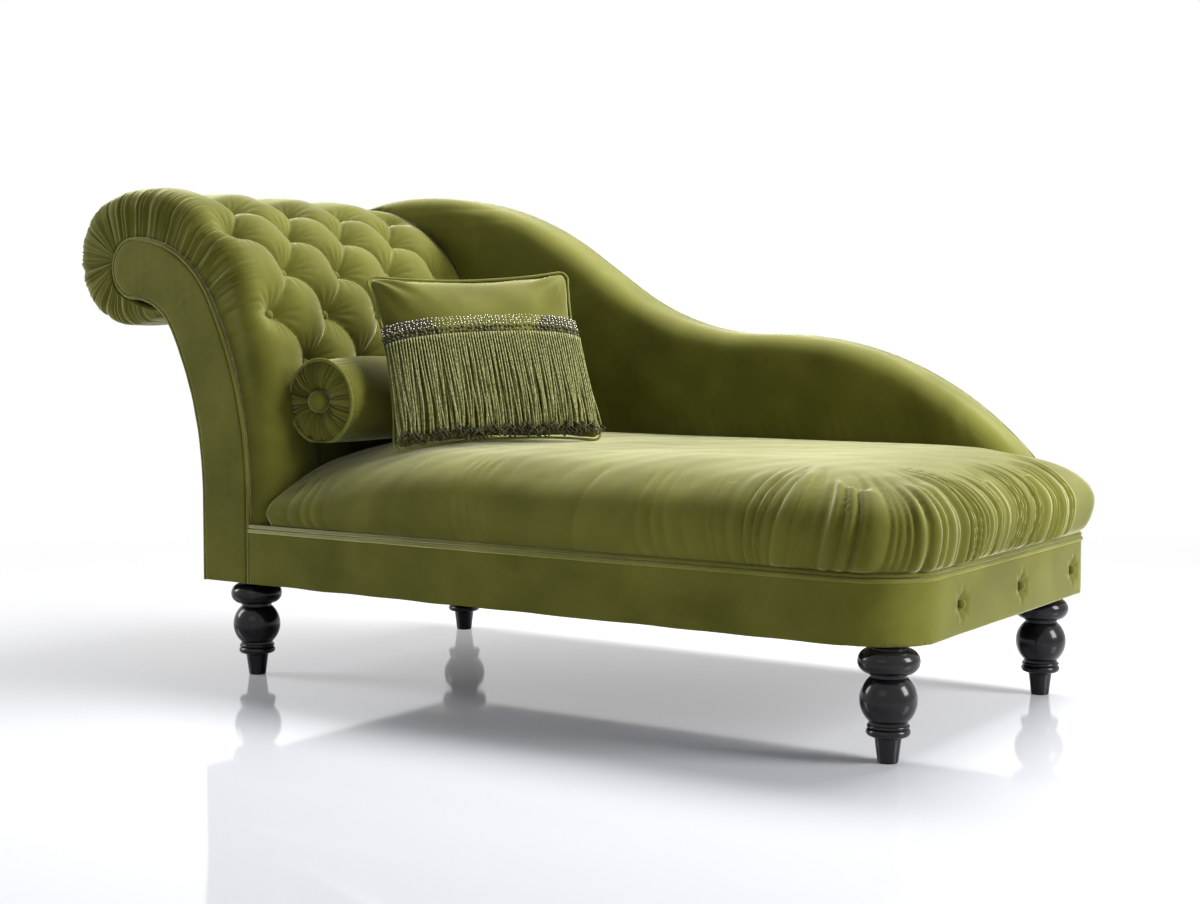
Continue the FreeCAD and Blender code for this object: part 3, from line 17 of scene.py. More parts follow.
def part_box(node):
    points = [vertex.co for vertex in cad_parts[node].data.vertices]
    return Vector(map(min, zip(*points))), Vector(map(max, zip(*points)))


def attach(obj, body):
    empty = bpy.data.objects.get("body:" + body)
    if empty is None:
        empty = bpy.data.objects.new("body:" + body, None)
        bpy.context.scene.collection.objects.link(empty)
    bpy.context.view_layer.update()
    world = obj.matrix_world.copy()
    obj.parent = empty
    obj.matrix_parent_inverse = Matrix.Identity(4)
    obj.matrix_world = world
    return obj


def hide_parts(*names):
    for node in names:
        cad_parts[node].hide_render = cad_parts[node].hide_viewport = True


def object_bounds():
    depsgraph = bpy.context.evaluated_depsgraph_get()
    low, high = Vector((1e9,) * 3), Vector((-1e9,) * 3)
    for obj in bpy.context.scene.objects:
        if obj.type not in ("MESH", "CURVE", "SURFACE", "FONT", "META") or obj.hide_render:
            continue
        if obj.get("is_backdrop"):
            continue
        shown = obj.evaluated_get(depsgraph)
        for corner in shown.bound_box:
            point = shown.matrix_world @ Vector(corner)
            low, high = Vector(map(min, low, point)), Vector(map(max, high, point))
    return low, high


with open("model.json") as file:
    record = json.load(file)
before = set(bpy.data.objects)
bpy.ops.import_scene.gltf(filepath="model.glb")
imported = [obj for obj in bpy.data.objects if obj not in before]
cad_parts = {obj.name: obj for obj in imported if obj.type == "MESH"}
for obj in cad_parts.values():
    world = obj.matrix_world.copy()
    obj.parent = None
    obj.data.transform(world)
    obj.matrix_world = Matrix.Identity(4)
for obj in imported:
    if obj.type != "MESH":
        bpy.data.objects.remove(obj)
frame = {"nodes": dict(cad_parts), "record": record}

model_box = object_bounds()
MM = 0.001

# %% [markdown]
# The camera comes first, because it decides which folds are worth the work. It stands low, in front of the
# foot and to its right, and looks a little down. Its place was solved from the chaise's straight edges and
# legs, so the chaise falls close to its place in the picture. The four feet still lie 6 to 20 pixels away
# from theirs.

# %% Camera
CAMERA_PLACE = Vector((1.913, -2.736, 0.620))
CAMERA_TURN = math.radians(33.8)
CAMERA_DOWN = math.radians(3.80)
CAMERA_LENS = 55.95
SENSOR = 36.0


def look_direction(turn, down):
    """The way the camera looks, from its turn round the upright axis and its tilt."""
    return Vector((-math.sin(turn) * math.cos(down), math.cos(turn) * math.cos(down), -math.sin(down)))


bpy.ops.object.camera_add(location=CAMERA_PLACE)
camera = bpy.context.object
camera.name = "camera"
camera.rotation_euler = look_direction(CAMERA_TURN, CAMERA_DOWN).to_track_quat("-Z", "Y").to_euler()
camera.data.lens = CAMERA_LENS
camera.data.sensor_width = SENSOR
bpy.context.scene.camera = camera
bpy.context.scene.view_settings.view_transform = "Standard"
print("camera at", [round(value, 3) for value in camera.location])

# %% [markdown]
# Velvet is a short standing pile. Seen straight on it is deep and dark, because the eye looks in between
# the hairs. Seen along the surface it is pale, because light catches the tips. The shader's sheen does much
# the same. The pile also lies in patches, which makes the cloth lighter here and darker there, so a slow
# noise moves the colour. A fast noise gives the pile itself as a small bump.

# %% Velvet
PATCH_SIZE = 0.13
PILE_SIZE = 0.0016
PILE_HEIGHT = 0.0007


def new_material(name):
    """A material with its nodes, links and shader, and the socket that gives a point's place on its piece."""
    material = bpy.data.materials.new(name)
    material.use_nodes = True
    nodes = material.node_tree.nodes
    place = nodes.new("ShaderNodeTexCoord").outputs["Object"]
    return material, nodes, material.node_tree.links, nodes["Principled BSDF"], place


def set_inputs(node, values):
    """Set a node's sockets by their names."""
    for name, value in values.items():
        node.inputs[name].default_value = value


def noise_texture(nodes, links, coordinates, size, detail):
    """Noise whose grains are about one size across, in metres."""
    texture = nodes.new("ShaderNodeTexNoise")
    set_inputs(texture, {"Scale": 1.0 / size, "Detail": detail})
    links.new(coordinates, texture.inputs["Vector"])
    return texture


def colour_by(nodes, links, texture, low, high, colours, shader):
    """Give a shader a colour that goes from the first to the second as the noise goes from low to high."""
    ramp = nodes.new("ShaderNodeValToRGB")
    for element, position, colour in zip(ramp.color_ramp.elements, (low, high), colours):
        element.position = position
        element.color = (*colour, 1.0)
    links.new(texture.outputs["Fac"], ramp.inputs["Fac"])
    links.new(ramp.outputs["Color"], shader.inputs["Base Color"])


def add_bump(nodes, links, texture, distance, strength, shader):
    """Turn a noise into small relief on a shader."""
    bump = nodes.new("ShaderNodeBump")
    set_inputs(bump, {"Distance": distance, "Strength": strength})
    links.new(texture.outputs["Fac"], bump.inputs["Height"])
    links.new(bump.outputs["Normal"], shader.inputs["Normal"])


def velvet(name, deep, light, sheen):
    material, nodes, links, shader, place = new_material(name)
    patches = noise_texture(nodes, links, place, PATCH_SIZE, 5.0)
    set_inputs(patches, {"Distortion": 0.4})
    colour_by(nodes, links, patches, 0.28, 0.76, (deep, light), shader)
    pile = noise_texture(nodes, links, place, PILE_SIZE, 2.0)
    add_bump(nodes, links, pile, PILE_HEIGHT, 0.35, shader)
    set_inputs(shader, {"Roughness": 0.85, "Specular IOR Level": 0.18, "Sheen Weight": 1.0})
    set_inputs(shader, {"Sheen Roughness": 0.30, "Sheen Tint": (*sheen, 1.0)})
    return material


OLIVE_DEEP = (0.088, 0.086, 0.008)
OLIVE_LIGHT = (0.150, 0.150, 0.021)
OLIVE_SHEEN = (0.95, 0.94, 0.60)
olive = velvet("olive_velvet", OLIVE_DEEP, OLIVE_LIGHT, OLIVE_SHEEN)
# The piping is the same velvet made lighter: a painted highlight for the light that its round cord catches.
piping_velvet_painted_highlight = velvet("piping_velvet", (0.125, 0.124, 0.016), (0.20, 0.20, 0.04), (0.90, 0.88, 0.48))

# %% [markdown]
# The other finishes are plain: polished black lacquer on the legs, bare timber and steel on the parts inside.
# Timber has its grain along one axis, so the noise is stretched along it.

# %% Other finishes
GRAIN_STRETCH = (0.08, 1.0, 1.0)


def lacquer():
    material, nodes, links, shader, place = new_material("black_lacquer")
    cloudy = noise_texture(nodes, links, place, 0.03, 3.0)
    colour_by(nodes, links, cloudy, 0.3, 0.7, ((0.004, 0.004, 0.005), (0.011, 0.010, 0.011)), shader)
    add_bump(nodes, links, cloudy, 0.0006, 0.12, shader)
    set_inputs(shader, {"Roughness": 0.22, "Specular IOR Level": 0.16})
    set_inputs(shader, {"Coat Weight": 0.22, "Coat Roughness": 0.08})
    return material


def timber(name, dark, pale):
    material, nodes, links, shader, place = new_material(name)
    mapping = nodes.new("ShaderNodeMapping")
    set_inputs(mapping, {"Scale": GRAIN_STRETCH})
    links.new(place, mapping.inputs["Vector"])
    grain = noise_texture(nodes, links, mapping.outputs["Vector"], 0.006, 5.0)
    colour_by(nodes, links, grain, 0.35, 0.65, (dark, pale), shader)
    add_bump(nodes, links, grain, 0.0004, 0.3, shader)
    set_inputs(shader, {"Roughness": 0.62})
    return material


def plain_cloth(name, dark, pale, thread):
    material, nodes, links, shader, place = new_material(name)
    weave = noise_texture(nodes, links, place, thread, 2.0)
    colour_by(nodes, links, weave, 0.35, 0.65, (dark, pale), shader)
    add_bump(nodes, links, weave, 0.0006, 0.5, shader)
    set_inputs(shader, {"Roughness": 0.92})
    return material


def metal(name, colour, roughness):
    material, nodes, links, shader, place = new_material(name)
    wear = noise_texture(nodes, links, place, 0.004, 3.0)
    darker = tuple(value * 0.6 for value in colour)
    colour_by(nodes, links, wear, 0.35, 0.65, (darker, colour), shader)
    set_inputs(shader, {"Metallic": 1.0, "Roughness": roughness})
    return material


black = lacquer()
beech = timber("beech", (0.36, 0.22, 0.11), (0.55, 0.38, 0.21))
plywood = timber("plywood", (0.45, 0.32, 0.18), (0.62, 0.48, 0.30))
dust_cloth = plain_cloth("dust_cloth", (0.010, 0.010, 0.010), (0.030, 0.030, 0.030), 0.001)
jute = plain_cloth("jute", (0.20, 0.15, 0.08), (0.42, 0.34, 0.20), 0.002)
foam = plain_cloth("foam", (0.62, 0.55, 0.36), (0.78, 0.72, 0.52), 0.003)
steel = metal("steel", (0.55, 0.55, 0.56), 0.32)
silver = metal("silver_beads", (0.62, 0.60, 0.50), 0.22)
yarn = plain_cloth("fringe_yarn", (0.13, 0.13, 0.030), (0.36, 0.37, 0.15), 0.004)
dark_yarn = plain_cloth("dark_yarn", (0.012, 0.012, 0.005), (0.075, 0.074, 0.022), 0.002)

FINISHES = {
    "velvet": olive, "piping_velvet": piping_velvet_painted_highlight, "beech": beech, "plywood": plywood,
    "black_wood": black, "steel": steel, "dust_cloth": dust_cloth, "webbing": jute, "foam": foam,
    "bead_braid": silver, "fringe_yarn": yarn,
}
slot_of = {row["node"]: row["material_slot"] for row in frame["record"]["subparts"]}
for name, node in frame["nodes"].items():
    node.data.materials.clear()
    node.data.materials.append(FINISHES[slot_of[name]])
print("finishes", len(FINISHES))

# %% [markdown]
# A soft piece is a skin whose points are pushed in and out by sewing, stuffing and tension. Two ways to get
# that skin are used. Where the form is a band along a curve, a grid of points follows the curve. Elsewhere
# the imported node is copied, its loose triangles are merged, and a voxel remesh gives it even faces. In
# both, a function says how far each point moves, nearly always along its normal.

# %% Skins
def deselect():
    bpy.ops.object.select_all(action="DESELECT")


def finish_piece(piece, body, material, nodes=()):
    """Give a piece its finish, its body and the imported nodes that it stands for."""
    piece.data.materials.clear()
    piece.data.materials.append(material)
    piece.data.shade_smooth()
    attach(piece, body)
    if nodes:
        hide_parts(*nodes)
    print(piece.name, len(piece.data.polygons), "faces")
    return piece


def placed(name, mesh):
    """A mesh as a piece of the scene, at the origin."""
    piece = bpy.data.objects.new(name, mesh)
    bpy.context.scene.collection.objects.link(piece)
    return piece


def meshed(name, points, faces):
    """A piece from points in metres, and from faces that count them."""
    mesh = bpy.data.meshes.new(name)
    mesh.from_pydata(points, [], faces)
    return placed(name, mesh)


def tube_faces(start, rings, count):
    """Faces that join neighbouring rings of points and cap both ends."""
    faces = []
    for i in range(rings - 1):
        row = start + i * count
        for j in range(count):
            k = (j + 1) % count
            faces.append((row + j, row + k, row + count + k, row + count + j))
    last = start + (rings - 1) * count
    faces.append(tuple(start + j for j in reversed(range(count))))
    faces.append(tuple(last + j for j in range(count)))
    return faces


def grid_piece(name, rows):
    """A closed skin through rings of points."""
    points = [tuple(point) for row in rows for point in row]
    piece = meshed(name, points, tube_faces(0, len(rows), len(rows[0])))
    outward(piece)
    return piece


def outward(piece):
    """Merge doubles and point every face away from the inside."""
    skin = bmesh.new()
    skin.from_mesh(piece.data)
    bmesh.ops.remove_doubles(skin, verts=skin.verts, dist=1e-6)
    bmesh.ops.recalc_face_normals(skin, faces=skin.faces)
    skin.to_mesh(piece.data)
    skin.free()


def apply_modifier(piece, kind, **settings):
    """Add one modifier, set it and apply it."""
    deselect()
    piece.select_set(True)
    bpy.context.view_layer.objects.active = piece
    modifier = piece.modifiers.new(kind.lower(), kind)
    for key, value in settings.items():
        setattr(modifier, key, value)
    bpy.ops.object.modifier_apply(modifier=modifier.name)


def merged_copy(name, node):
    """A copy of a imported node, whose loose triangles are merged to one skin."""
    piece = placed(name, frame["nodes"][node].data.copy())
    outward(piece)
    return piece


def remeshed(name, node, voxel, rounds=6):
    """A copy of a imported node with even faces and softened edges."""
    piece = merged_copy(name, node)
    apply_modifier(piece, "REMESH", mode="VOXEL", voxel_size=voxel)
    apply_modifier(piece, "SMOOTH", factor=0.5, iterations=rounds)
    return piece


def vertex_values(piece, key):
    values = np.empty(len(piece.data.vertices) * 3)
    piece.data.vertices.foreach_get(key, values)
    return values.reshape(-1, 3)


def points_of(piece):
    return vertex_values(piece, "co")


def set_points(piece, points):
    """Write a piece's points back, in metres."""
    piece.data.vertices.foreach_set("co", points.ravel())
    piece.data.update()


def push(piece, amount):
    """Move each point along its normal. amount gives millimetres from the points in millimetres."""
    points = points_of(piece)
    normals = vertex_values(piece, "normal")
    points += normals * (amount(points / MM, normals) * MM)[:, None]
    set_points(piece, points)


def ease(value, low, high):
    """0 below low, 1 above high and a smooth change in between."""
    share = np.clip((value - low) / (high - low), 0.0, 1.0)
    return share * share * (3.0 - 2.0 * share)


def uneven(points, size, seed, count=7):
    """Smooth noise between about -1 and 1: crossing waves of about one size, in millimetres."""
    random = np.random.RandomState(seed)
    total = np.zeros(len(points))
    for _ in range(count):
        heading = random.normal(size=3)
        heading /= np.linalg.norm(heading)
        pitch = size * random.uniform(0.7, 1.5)
        total += np.sin(points @ heading * (2 * math.pi / pitch) + random.uniform(0, 2 * math.pi))
    return total / math.sqrt(count)


def gathers(along, pitch, seed):
    """Sewn gathers: sharp valleys at uneven places along a seam, as a height from -1 to 0."""
    random = np.random.RandomState(seed)
    drift = np.zeros_like(along)
    for length in (pitch * 3.1, pitch * 5.7, pitch * 9.3):
        drift += 0.55 * pitch * np.sin(along * (2 * math.pi / length) + random.uniform(0, 2 * math.pi))
    phase = (along + drift) * (math.pi / pitch)
    return np.abs(np.sin(phase)) ** 0.7 - 1.0


def gathered(along, kind):
    """Gathers of one kind, which is a height, a pitch and a random seed."""
    height, pitch, seed = kind
    return height * gathers(along, pitch, seed)


# %% [markdown]
# The head pad is the showpiece. It starts at the seat, leans back along a long slope, goes over the crest,
# round the roll and tucks in below it. Seen from the side it is lines and arcs, so the pad is a grid: one
# way runs along that curve, and the other goes round the pad's section, with rounded shoulders at both
# facings. Deep buttoning is a lattice of diamonds. Each edge of a diamond is a pleat that sinks, each
# middle swells, and each corner is a button pulled far in. Past the outermost buttons the pleats run
# straight on to the rim, which the lattice gives by itself if its coordinates stop at the last button. The
# finer sewn pleats go over the roll and down the pad's two side walls. The curve's normal runs along such a
# wall, so there the pleats move the points outwards, across the pad.

# %% The side view of the head
pad_low_corner, pad_high_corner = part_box("head_pad")
cover_low, cover_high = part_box("rail_cover")
FRONT = cover_low.y / MM
CLEARANCE = 0.3
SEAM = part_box("seat_piping")[0].x / MM - CLEARANCE
FOOT = cover_high.x / MM
PAD_X = pad_high_corner.x / MM
PAD_BOTTOM = pad_low_corner.z / MM
BAND = 114.0
SWEEP_START = 330.0
SWEEP_RADIUS = 700.0
SCROLL_TOP = 786.0
PAD_CREST = 81.0
PAD_ROLL = 117.0
ROLL_OVERHANG = 44.0
TUCK_ANGLE = 52.0
roll_x = pad_low_corner.x / MM + PAD_ROLL + ROLL_OVERHANG
run_back = SEAM - roll_x
scroll_rise = SCROLL_TOP - SWEEP_START
left_over = SWEEP_RADIUS - scroll_rise
drop = ((SWEEP_RADIUS - run_back) ** 2 + left_over ** 2) / (2 * left_over)
bend_radius = SWEEP_RADIUS - drop
bend_centre = np.array((roll_x, SCROLL_TOP - bend_radius))
crest_radius = bend_radius + PAD_CREST
slope_run = PAD_X - roll_x
slope_rise = bend_centre[1] - SWEEP_START
slope_radius = (slope_run ** 2 + slope_rise ** 2 - crest_radius ** 2) / (2 * (slope_run - crest_radius))
slope_centre = np.array((PAD_X - slope_radius, SWEEP_START))
slope_angle = math.degrees(math.atan2(slope_rise, slope_radius - slope_run))
roll_reach = crest_radius - PAD_ROLL
roll_angle = math.degrees(math.acos(-ROLL_OVERHANG / roll_reach))


def polar(centre, radius, degrees):
    angle = math.radians(degrees)
    return centre + radius * np.array((math.cos(angle), math.sin(angle)))


pad_roll_centre = polar(bend_centre, roll_reach, roll_angle)
sweep_centre = np.array((SEAM - SWEEP_RADIUS, SWEEP_START))
sweep_angle = math.degrees(math.atan2(*(bend_centre - sweep_centre)[::-1]))
roll_centre = np.array((roll_x, SCROLL_TOP - BAND / 2))
tuck_point = polar(bend_centre, bend_radius - BAND - CLEARANCE, TUCK_ANGLE)
pad_lowest = polar(pad_roll_centre, PAD_ROLL, 270.0)
under_run, under_rise = tuck_point - pad_lowest
under_radius = (under_run ** 2 + under_rise ** 2) / (2 * under_rise)
under_centre = pad_lowest + np.array((0.0, under_radius))
under_angle = math.degrees(math.atan2(under_run, under_radius - under_rise))
PAD_ARCS = [
    (slope_centre, slope_radius, 0.0, slope_angle),
    (bend_centre, crest_radius, slope_angle, roll_angle),
    (pad_roll_centre, PAD_ROLL, roll_angle, 270.0),
    (under_centre, under_radius, 270.0, 270.0 + under_angle),
]
upright_length = SWEEP_START - PAD_BOTTOM
arc_lengths = [math.radians(end - start) * radius for _, radius, start, end in PAD_ARCS]
pad_length = upright_length + sum(arc_lengths)
crest_start = upright_length + arc_lengths[0]


def pad_station(distance):
    """Place and outward normal of the pad's face, by distance along it from the seat."""
    if distance <= upright_length:
        return np.array((PAD_X, PAD_BOTTOM + distance)), np.array((1.0, 0.0))
    left = distance - upright_length
    for (centre, radius, start, end), length in zip(PAD_ARCS, arc_lengths):
        if left <= length or centre is under_centre:
            angle = start + math.degrees(left / radius)
            return polar(centre, radius, angle), polar(np.zeros(2), 1.0, angle)
        left -= length


print("pad along its face", round(pad_length), "mm, crest starts at", round(crest_start))

# %% Deep buttoning
TUFT_FIRST = 31.0
TUFT_ROW = 92.0
TUFT_COLUMN = 145.0
TUFT_ROWS = (-1, 0, 1, 2, 3)
first_column = FRONT + 77.5
PLEAT_SINK = 11.5
PUFF = 20.0
BUTTON_SINK = 25.0
BUTTON_PULL = 23.0
FAN_FOLDS = 8.0
FAN_DEPTH = 3.0
FAN_PLACE = 31.0
FAN_WIDTH = 17.0
button_places = []
for row in TUFT_ROWS:
    shift = 0.0 if row % 2 == 0 else TUFT_COLUMN / 2
    for column in range(4):
        button_along = crest_start + TUFT_FIRST + row * TUFT_ROW
        button_places.append((button_along, first_column + shift + column * TUFT_COLUMN))
button_places = np.array(button_places)
row_low, row_high = button_places[:, 0].min(), button_places[:, 0].max()
column_low, column_high = button_places[:, 1].min(), button_places[:, 1].max()


def tufting(along, across):
    """Height of the buttoned surface in millimetres, from places along and across the pad."""
    held_along = np.clip(along, row_low, row_high)
    held_across = np.clip(across, column_low, column_high)
    down = (held_along - (crest_start + TUFT_FIRST)) / (2 * TUFT_ROW)
    over = (held_across - first_column) / TUFT_COLUMN
    swell = np.abs(np.sin(math.pi * (down + over)) * np.sin(math.pi * (down - over))) ** 0.46
    height = PUFF * swell - PLEAT_SINK
    gap_along = along[:, None] - button_places[None, :, 0]
    gap_across = across[:, None] - button_places[None, :, 1]
    reach = np.sqrt(gap_along ** 2 + gap_across ** 2)
    nearest = reach.argmin(axis=1)
    pick = np.arange(len(along))
    distance = reach[pick, nearest]
    angle = np.arctan2(gap_along[pick, nearest], gap_across[pick, nearest])
    height -= BUTTON_SINK * np.exp(-(distance / BUTTON_PULL) ** 1.4)
    fan = np.abs(np.sin(FAN_FOLDS * angle + nearest * 1.7 + 0.6 * np.sin(3.0 * angle + nearest))) ** 0.6 - 1.0
    height += FAN_DEPTH * fan * np.exp(-((distance - FAN_PLACE) / FAN_WIDTH) ** 2)
    return height


# %% Head pad
PAD_HALF = 360.0
SHOULDER = 34.0
ACROSS_STEPS = 200
ALONG_STEP = 3.1
TUCK_THICKNESS = 3.0
MAIN_PLEATS = (8.5, 19.0, 5)
FINE_PLEATS = (3.0, 9.5, 6)
SOFT_PLEATS = (1.6, 38.0, 7)
PLEAT_PUFF = 3.0
BEHIND_BACK = (236.0, 262.0)
FRONT_RIM = (305.0, 350.0)
under_start = pad_length - arc_lengths[3]


def pad_depth(distance, place):
    """How thick the pad is: how far behind its face the scroll panel lies."""
    if distance >= under_start:
        first = np.hypot(*(pad_lowest - roll_centre)) - BAND / 2
        return float(np.interp(distance, [under_start, pad_length], [first, TUCK_THICKNESS]))
    if place[1] <= SWEEP_START:
        return place[0] - SEAM
    off = place - sweep_centre
    if math.degrees(math.atan2(off[1], off[0])) < sweep_angle:
        return np.hypot(*off) - SWEEP_RADIUS
    if place[0] > roll_x:
        return np.hypot(*(place - bend_centre)) - bend_radius
    return np.hypot(*(place - roll_centre)) - BAND / 2


def pad_section(depth):
    """Across places and depths, round one section of the pad."""
    round_off = min(SHOULDER, 0.8 * depth)
    half_flat = PAD_HALF - round_off
    flat = np.arange(-half_flat, half_flat + 0.1, 2 * half_flat / ACROSS_STEPS)
    turn = np.linspace(0.0, math.pi / 2, 15)[1:]
    right = [(half_flat + round_off * math.sin(a), round_off * (1 - math.cos(a))) for a in turn]
    side = [(PAD_HALF, depth * share + round_off * (1 - share)) for share in np.linspace(0.0, 1.0, 10)[1:]]
    inner = [(PAD_HALF * share, depth) for share in (0.6, 0.2, -0.2, -0.6)]
    left = [(-y, sunk) for y, sunk in reversed(right + side)]
    return [(y, 0.0) for y in flat] + right + side + inner + left


def head_pad():
    stations = np.linspace(0.0, pad_length, int(pad_length / ALONG_STEP))
    rows = []
    along = []
    across = []
    sunk = []
    thick = []
    for distance in stations:
        place, normal = pad_station(distance)
        depth_here = pad_depth(distance, place)
        section = pad_section(depth_here)
        rows.append((place, normal, section))
        along += [distance] * len(section)
        across += [y for y, depth in section]
        sunk += [depth for y, depth in section]
        thick += [depth_here] * len(section)
    along, across, sunk, thick = np.array(along), np.array(across), np.array(sunk), np.array(thick)
    height = tufting(along, across)
    shown = 1.0 - ease(sunk, 3.0, SHOULDER)
    shown *= 1.0 - ease(across, *BEHIND_BACK)
    near_rim = ease(-across, *FRONT_RIM)
    past_crest = ease(along, crest_start + arc_lengths[1] + 90.0, under_start)
    fade_ends = ease(along, 20.0, 110.0) * (1.0 - 0.8 * past_crest)
    height = (height + 2.0) * shown * fade_ends * (1.0 - 0.55 * near_rim)
    from_cord = (thick - sunk) + (PAD_HALF - np.abs(across))
    sewn = ease(along, crest_start - 60.0, crest_start + 150.0)
    sewn *= 1.0 - ease(from_cord, 0.75 * thick, thick + 55.0)
    off_base = np.where(sunk >= thick - 0.5, 0.0, 1.0)
    sewn *= off_base
    pleats = (gathered(along, MAIN_PLEATS) + gathered(along, FINE_PLEATS) + PLEAT_PUFF) * sewn
    calm = ease(along, 40.0, 120.0) * (1.0 - ease(from_cord, 0.5 * thick, thick + 30.0)) * (1.0 - sewn)
    pleats += gathered(along, SOFT_PLEATS) * calm * off_base
    to_side = ease(sunk, 0.0, SHOULDER)
    height += pleats * (1.0 - to_side)
    sideways = np.sign(across) * pleats * to_side * (1.0 - 0.45 * ease(sunk, 0.55 * thick, thick))
    height += 1.0 * uneven(np.stack([along, across, sunk], 1), 90.0, 3) * shown
    rings = []
    number = 0
    for place, normal, section in rows:
        ring = []
        for y, depth in section:
            out = height[number] - depth
            x = place[0] + normal[0] * out
            z = place[1] + normal[1] * out
            ring.append((x * MM, (y + sideways[number]) * MM, z * MM))
            number += 1
        rings.append(ring)
    piece = grid_piece("head_pad_velvet", rings)
    return finish_piece(piece, "root", olive, ["head_pad"])


head_pad()

# %% [markdown]
# Each button is a small wooden mould with velvet pulled over it, so it is a low dome with a soft rim.
# One is modelled from a sphere and copied to every place, turned to stand square to the pad.

# %% Covered buttons
def dome(name, radius, rise):
    """A low dome on the plane z = 0, open side down, with a rolled rim."""
    deselect()
    bpy.ops.mesh.primitive_uv_sphere_add(segments=24, ring_count=12, radius=radius)
    piece = bpy.context.object
    piece.name = name
    bpy.ops.object.mode_set(mode="EDIT")
    bpy.ops.mesh.bisect(plane_co=(0, 0, -radius * 0.25), plane_no=(0, 0, 1), clear_inner=True, use_fill=True)
    bpy.ops.transform.resize(value=(1.0, 1.0, rise / radius))
    bpy.ops.object.mode_set(mode="OBJECT")
    return piece


def copies(name, source, places):
    """One mesh that holds a copy of a source at every place and heading."""
    base = points_of(source)
    faces = [tuple(face.vertices) for face in source.data.polygons]
    points = []
    joined = []
    for place, heading in places:
        turn = Vector(heading).to_track_quat("Z", "Y").to_matrix()
        start = len(points)
        points += [tuple(turn @ Vector(point) + Vector(place)) for point in base]
        joined += [tuple(start + index for index in face) for face in faces]
    piece = meshed(name, points, joined)
    bpy.data.objects.remove(source)
    return piece


BUTTON_DEPTH = 32.0


def head_buttons():
    places = []
    for distance, y in button_places:
        place, normal = pad_station(distance)
        spot = place - normal * BUTTON_DEPTH
        places.append(((spot[0] * MM, y * MM, spot[1] * MM), (normal[0], 0.0, normal[1])))
    piece = copies("head_buttons_velvet", dome("button", 11.0 * MM, 6.5 * MM), places)
    finish_piece(piece, "root", olive, ["head_buttons"])


head_buttons()

# %% [markdown]
# The seat is one long pad. Its cloth is pulled over a crown and sewn down to the piping all round. On the
# long side it is pulled tight, with a few faint lines. At the foot there is too much cloth for the curve,
# so it is gathered in small pleats that fan out over the edge. They end before the rear corner. A place
# round the edge is counted along the side, round the corner and along the foot.

# %% Seat pad
CORNER = 105.0
PIPING_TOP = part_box("seat_piping")[1].z / MM
SEAT_VOXEL = 6.4
UNDER_BACK = (215.0, 262.0)
EDGE_FOLDS = (10.0, 25.0, 11)
FINE_FOLDS = (4.2, 16.0, 12)
CORNER_FOLDS = (5.0, 37.0, 13)
SIDE_LINES = (2.6, 58.0, 14)
turn_x = FOOT - 2.2 * CORNER
turn_y = FRONT + 2.2 * CORNER


def round_edge(points):
    """Distance along the seat's edge, from the head along the side and round the corner to the foot."""
    x, y = points[:, 0], points[:, 1]
    angle = np.arctan2(np.maximum(x - turn_x, 0.0), np.maximum(turn_y - y, 1e-6))
    angle = np.where(y > turn_y, math.pi / 2, np.where(x < turn_x, 0.0, angle))
    arc = angle * 1.5 * CORNER
    return np.minimum(x, turn_x) + arc + np.maximum(y - turn_y, 0.0)


def seat_folds(points, normals):
    x, y, z = points.T
    edge = round_edge(points)
    at_foot = ease(edge, turn_x - 130.0, turn_x + 90.0)
    from_front = y - FRONT
    from_foot = FOOT + 18.0 - x
    inland = np.minimum(np.maximum(from_front, 0.0), np.maximum(from_foot, 0.0))
    reach_in = 95.0 + 35.0 * np.sin(edge / 31.0) + 25.0 * np.sin(edge / 13.0 + 1.0)
    over_edge = 1.0 - ease(inland, 35.0, reach_in)
    above = ease(z, PIPING_TOP - 2.0, PIPING_TOP + 10.0)
    visible = above * (1.0 - ease(y, *UNDER_BACK))
    slant = edge + 0.16 * (z - PIPING_TOP) * np.sin(edge / 60.0)
    folds = gathered(slant, EDGE_FOLDS) * at_foot * over_edge
    folds += gathered(slant, FINE_FOLDS) * at_foot * (1.0 - ease(inland, 25.0, 90.0))
    at_corner = ease(edge, turn_x - 40.0, turn_x + 40.0)
    at_corner *= 1.0 - ease(edge, turn_x + 180.0, turn_x + 300.0)
    folds += gathered(slant, CORNER_FOLDS) * at_corner * (1.0 - ease(inland, 50.0, 150.0))
    on_side = (1.0 - at_foot) * (1.0 - ease(from_front, 20.0, 120.0))
    in_patches = 0.25 + 0.75 * ease(uneven(points, 260.0, 9), -0.2, 0.9)
    folds += gathered(slant, SIDE_LINES) * on_side * in_patches
    puffed = 5.0 * at_foot * over_edge + 3.0 * at_corner * over_edge
    slow = 1.5 * uneven(points, 230.0, 21) + 0.5 * uneven(points, 70.0, 22)
    return (folds + puffed + slow) * visible


def finer_where(piece, wanted):
    """Split the faces whose middle answers yes, so that small folds have points to bend at."""
    skin = bmesh.new()
    skin.from_mesh(piece.data)
    chosen = [face for face in skin.faces if wanted(face.calc_center_median() / MM)]
    edges = list({edge for face in chosen for edge in face.edges})
    bmesh.ops.subdivide_edges(skin, edges=edges, cuts=1, use_grid_fill=True, smooth=1.0)
    skin.to_mesh(piece.data)
    skin.free()


def at_folds(middle):
    """Whether a face with this middle, in millimetres, lies where the folds go."""
    near_foot = middle.x > FOOT - 330.0 or middle.y < FRONT + 60.0
    near_edge = middle.x > FOOT - 150.0 or middle.y < FRONT + 150.0
    return near_foot and near_edge and middle.z > PIPING_TOP - 4.0 and middle.y < UNDER_BACK[1]


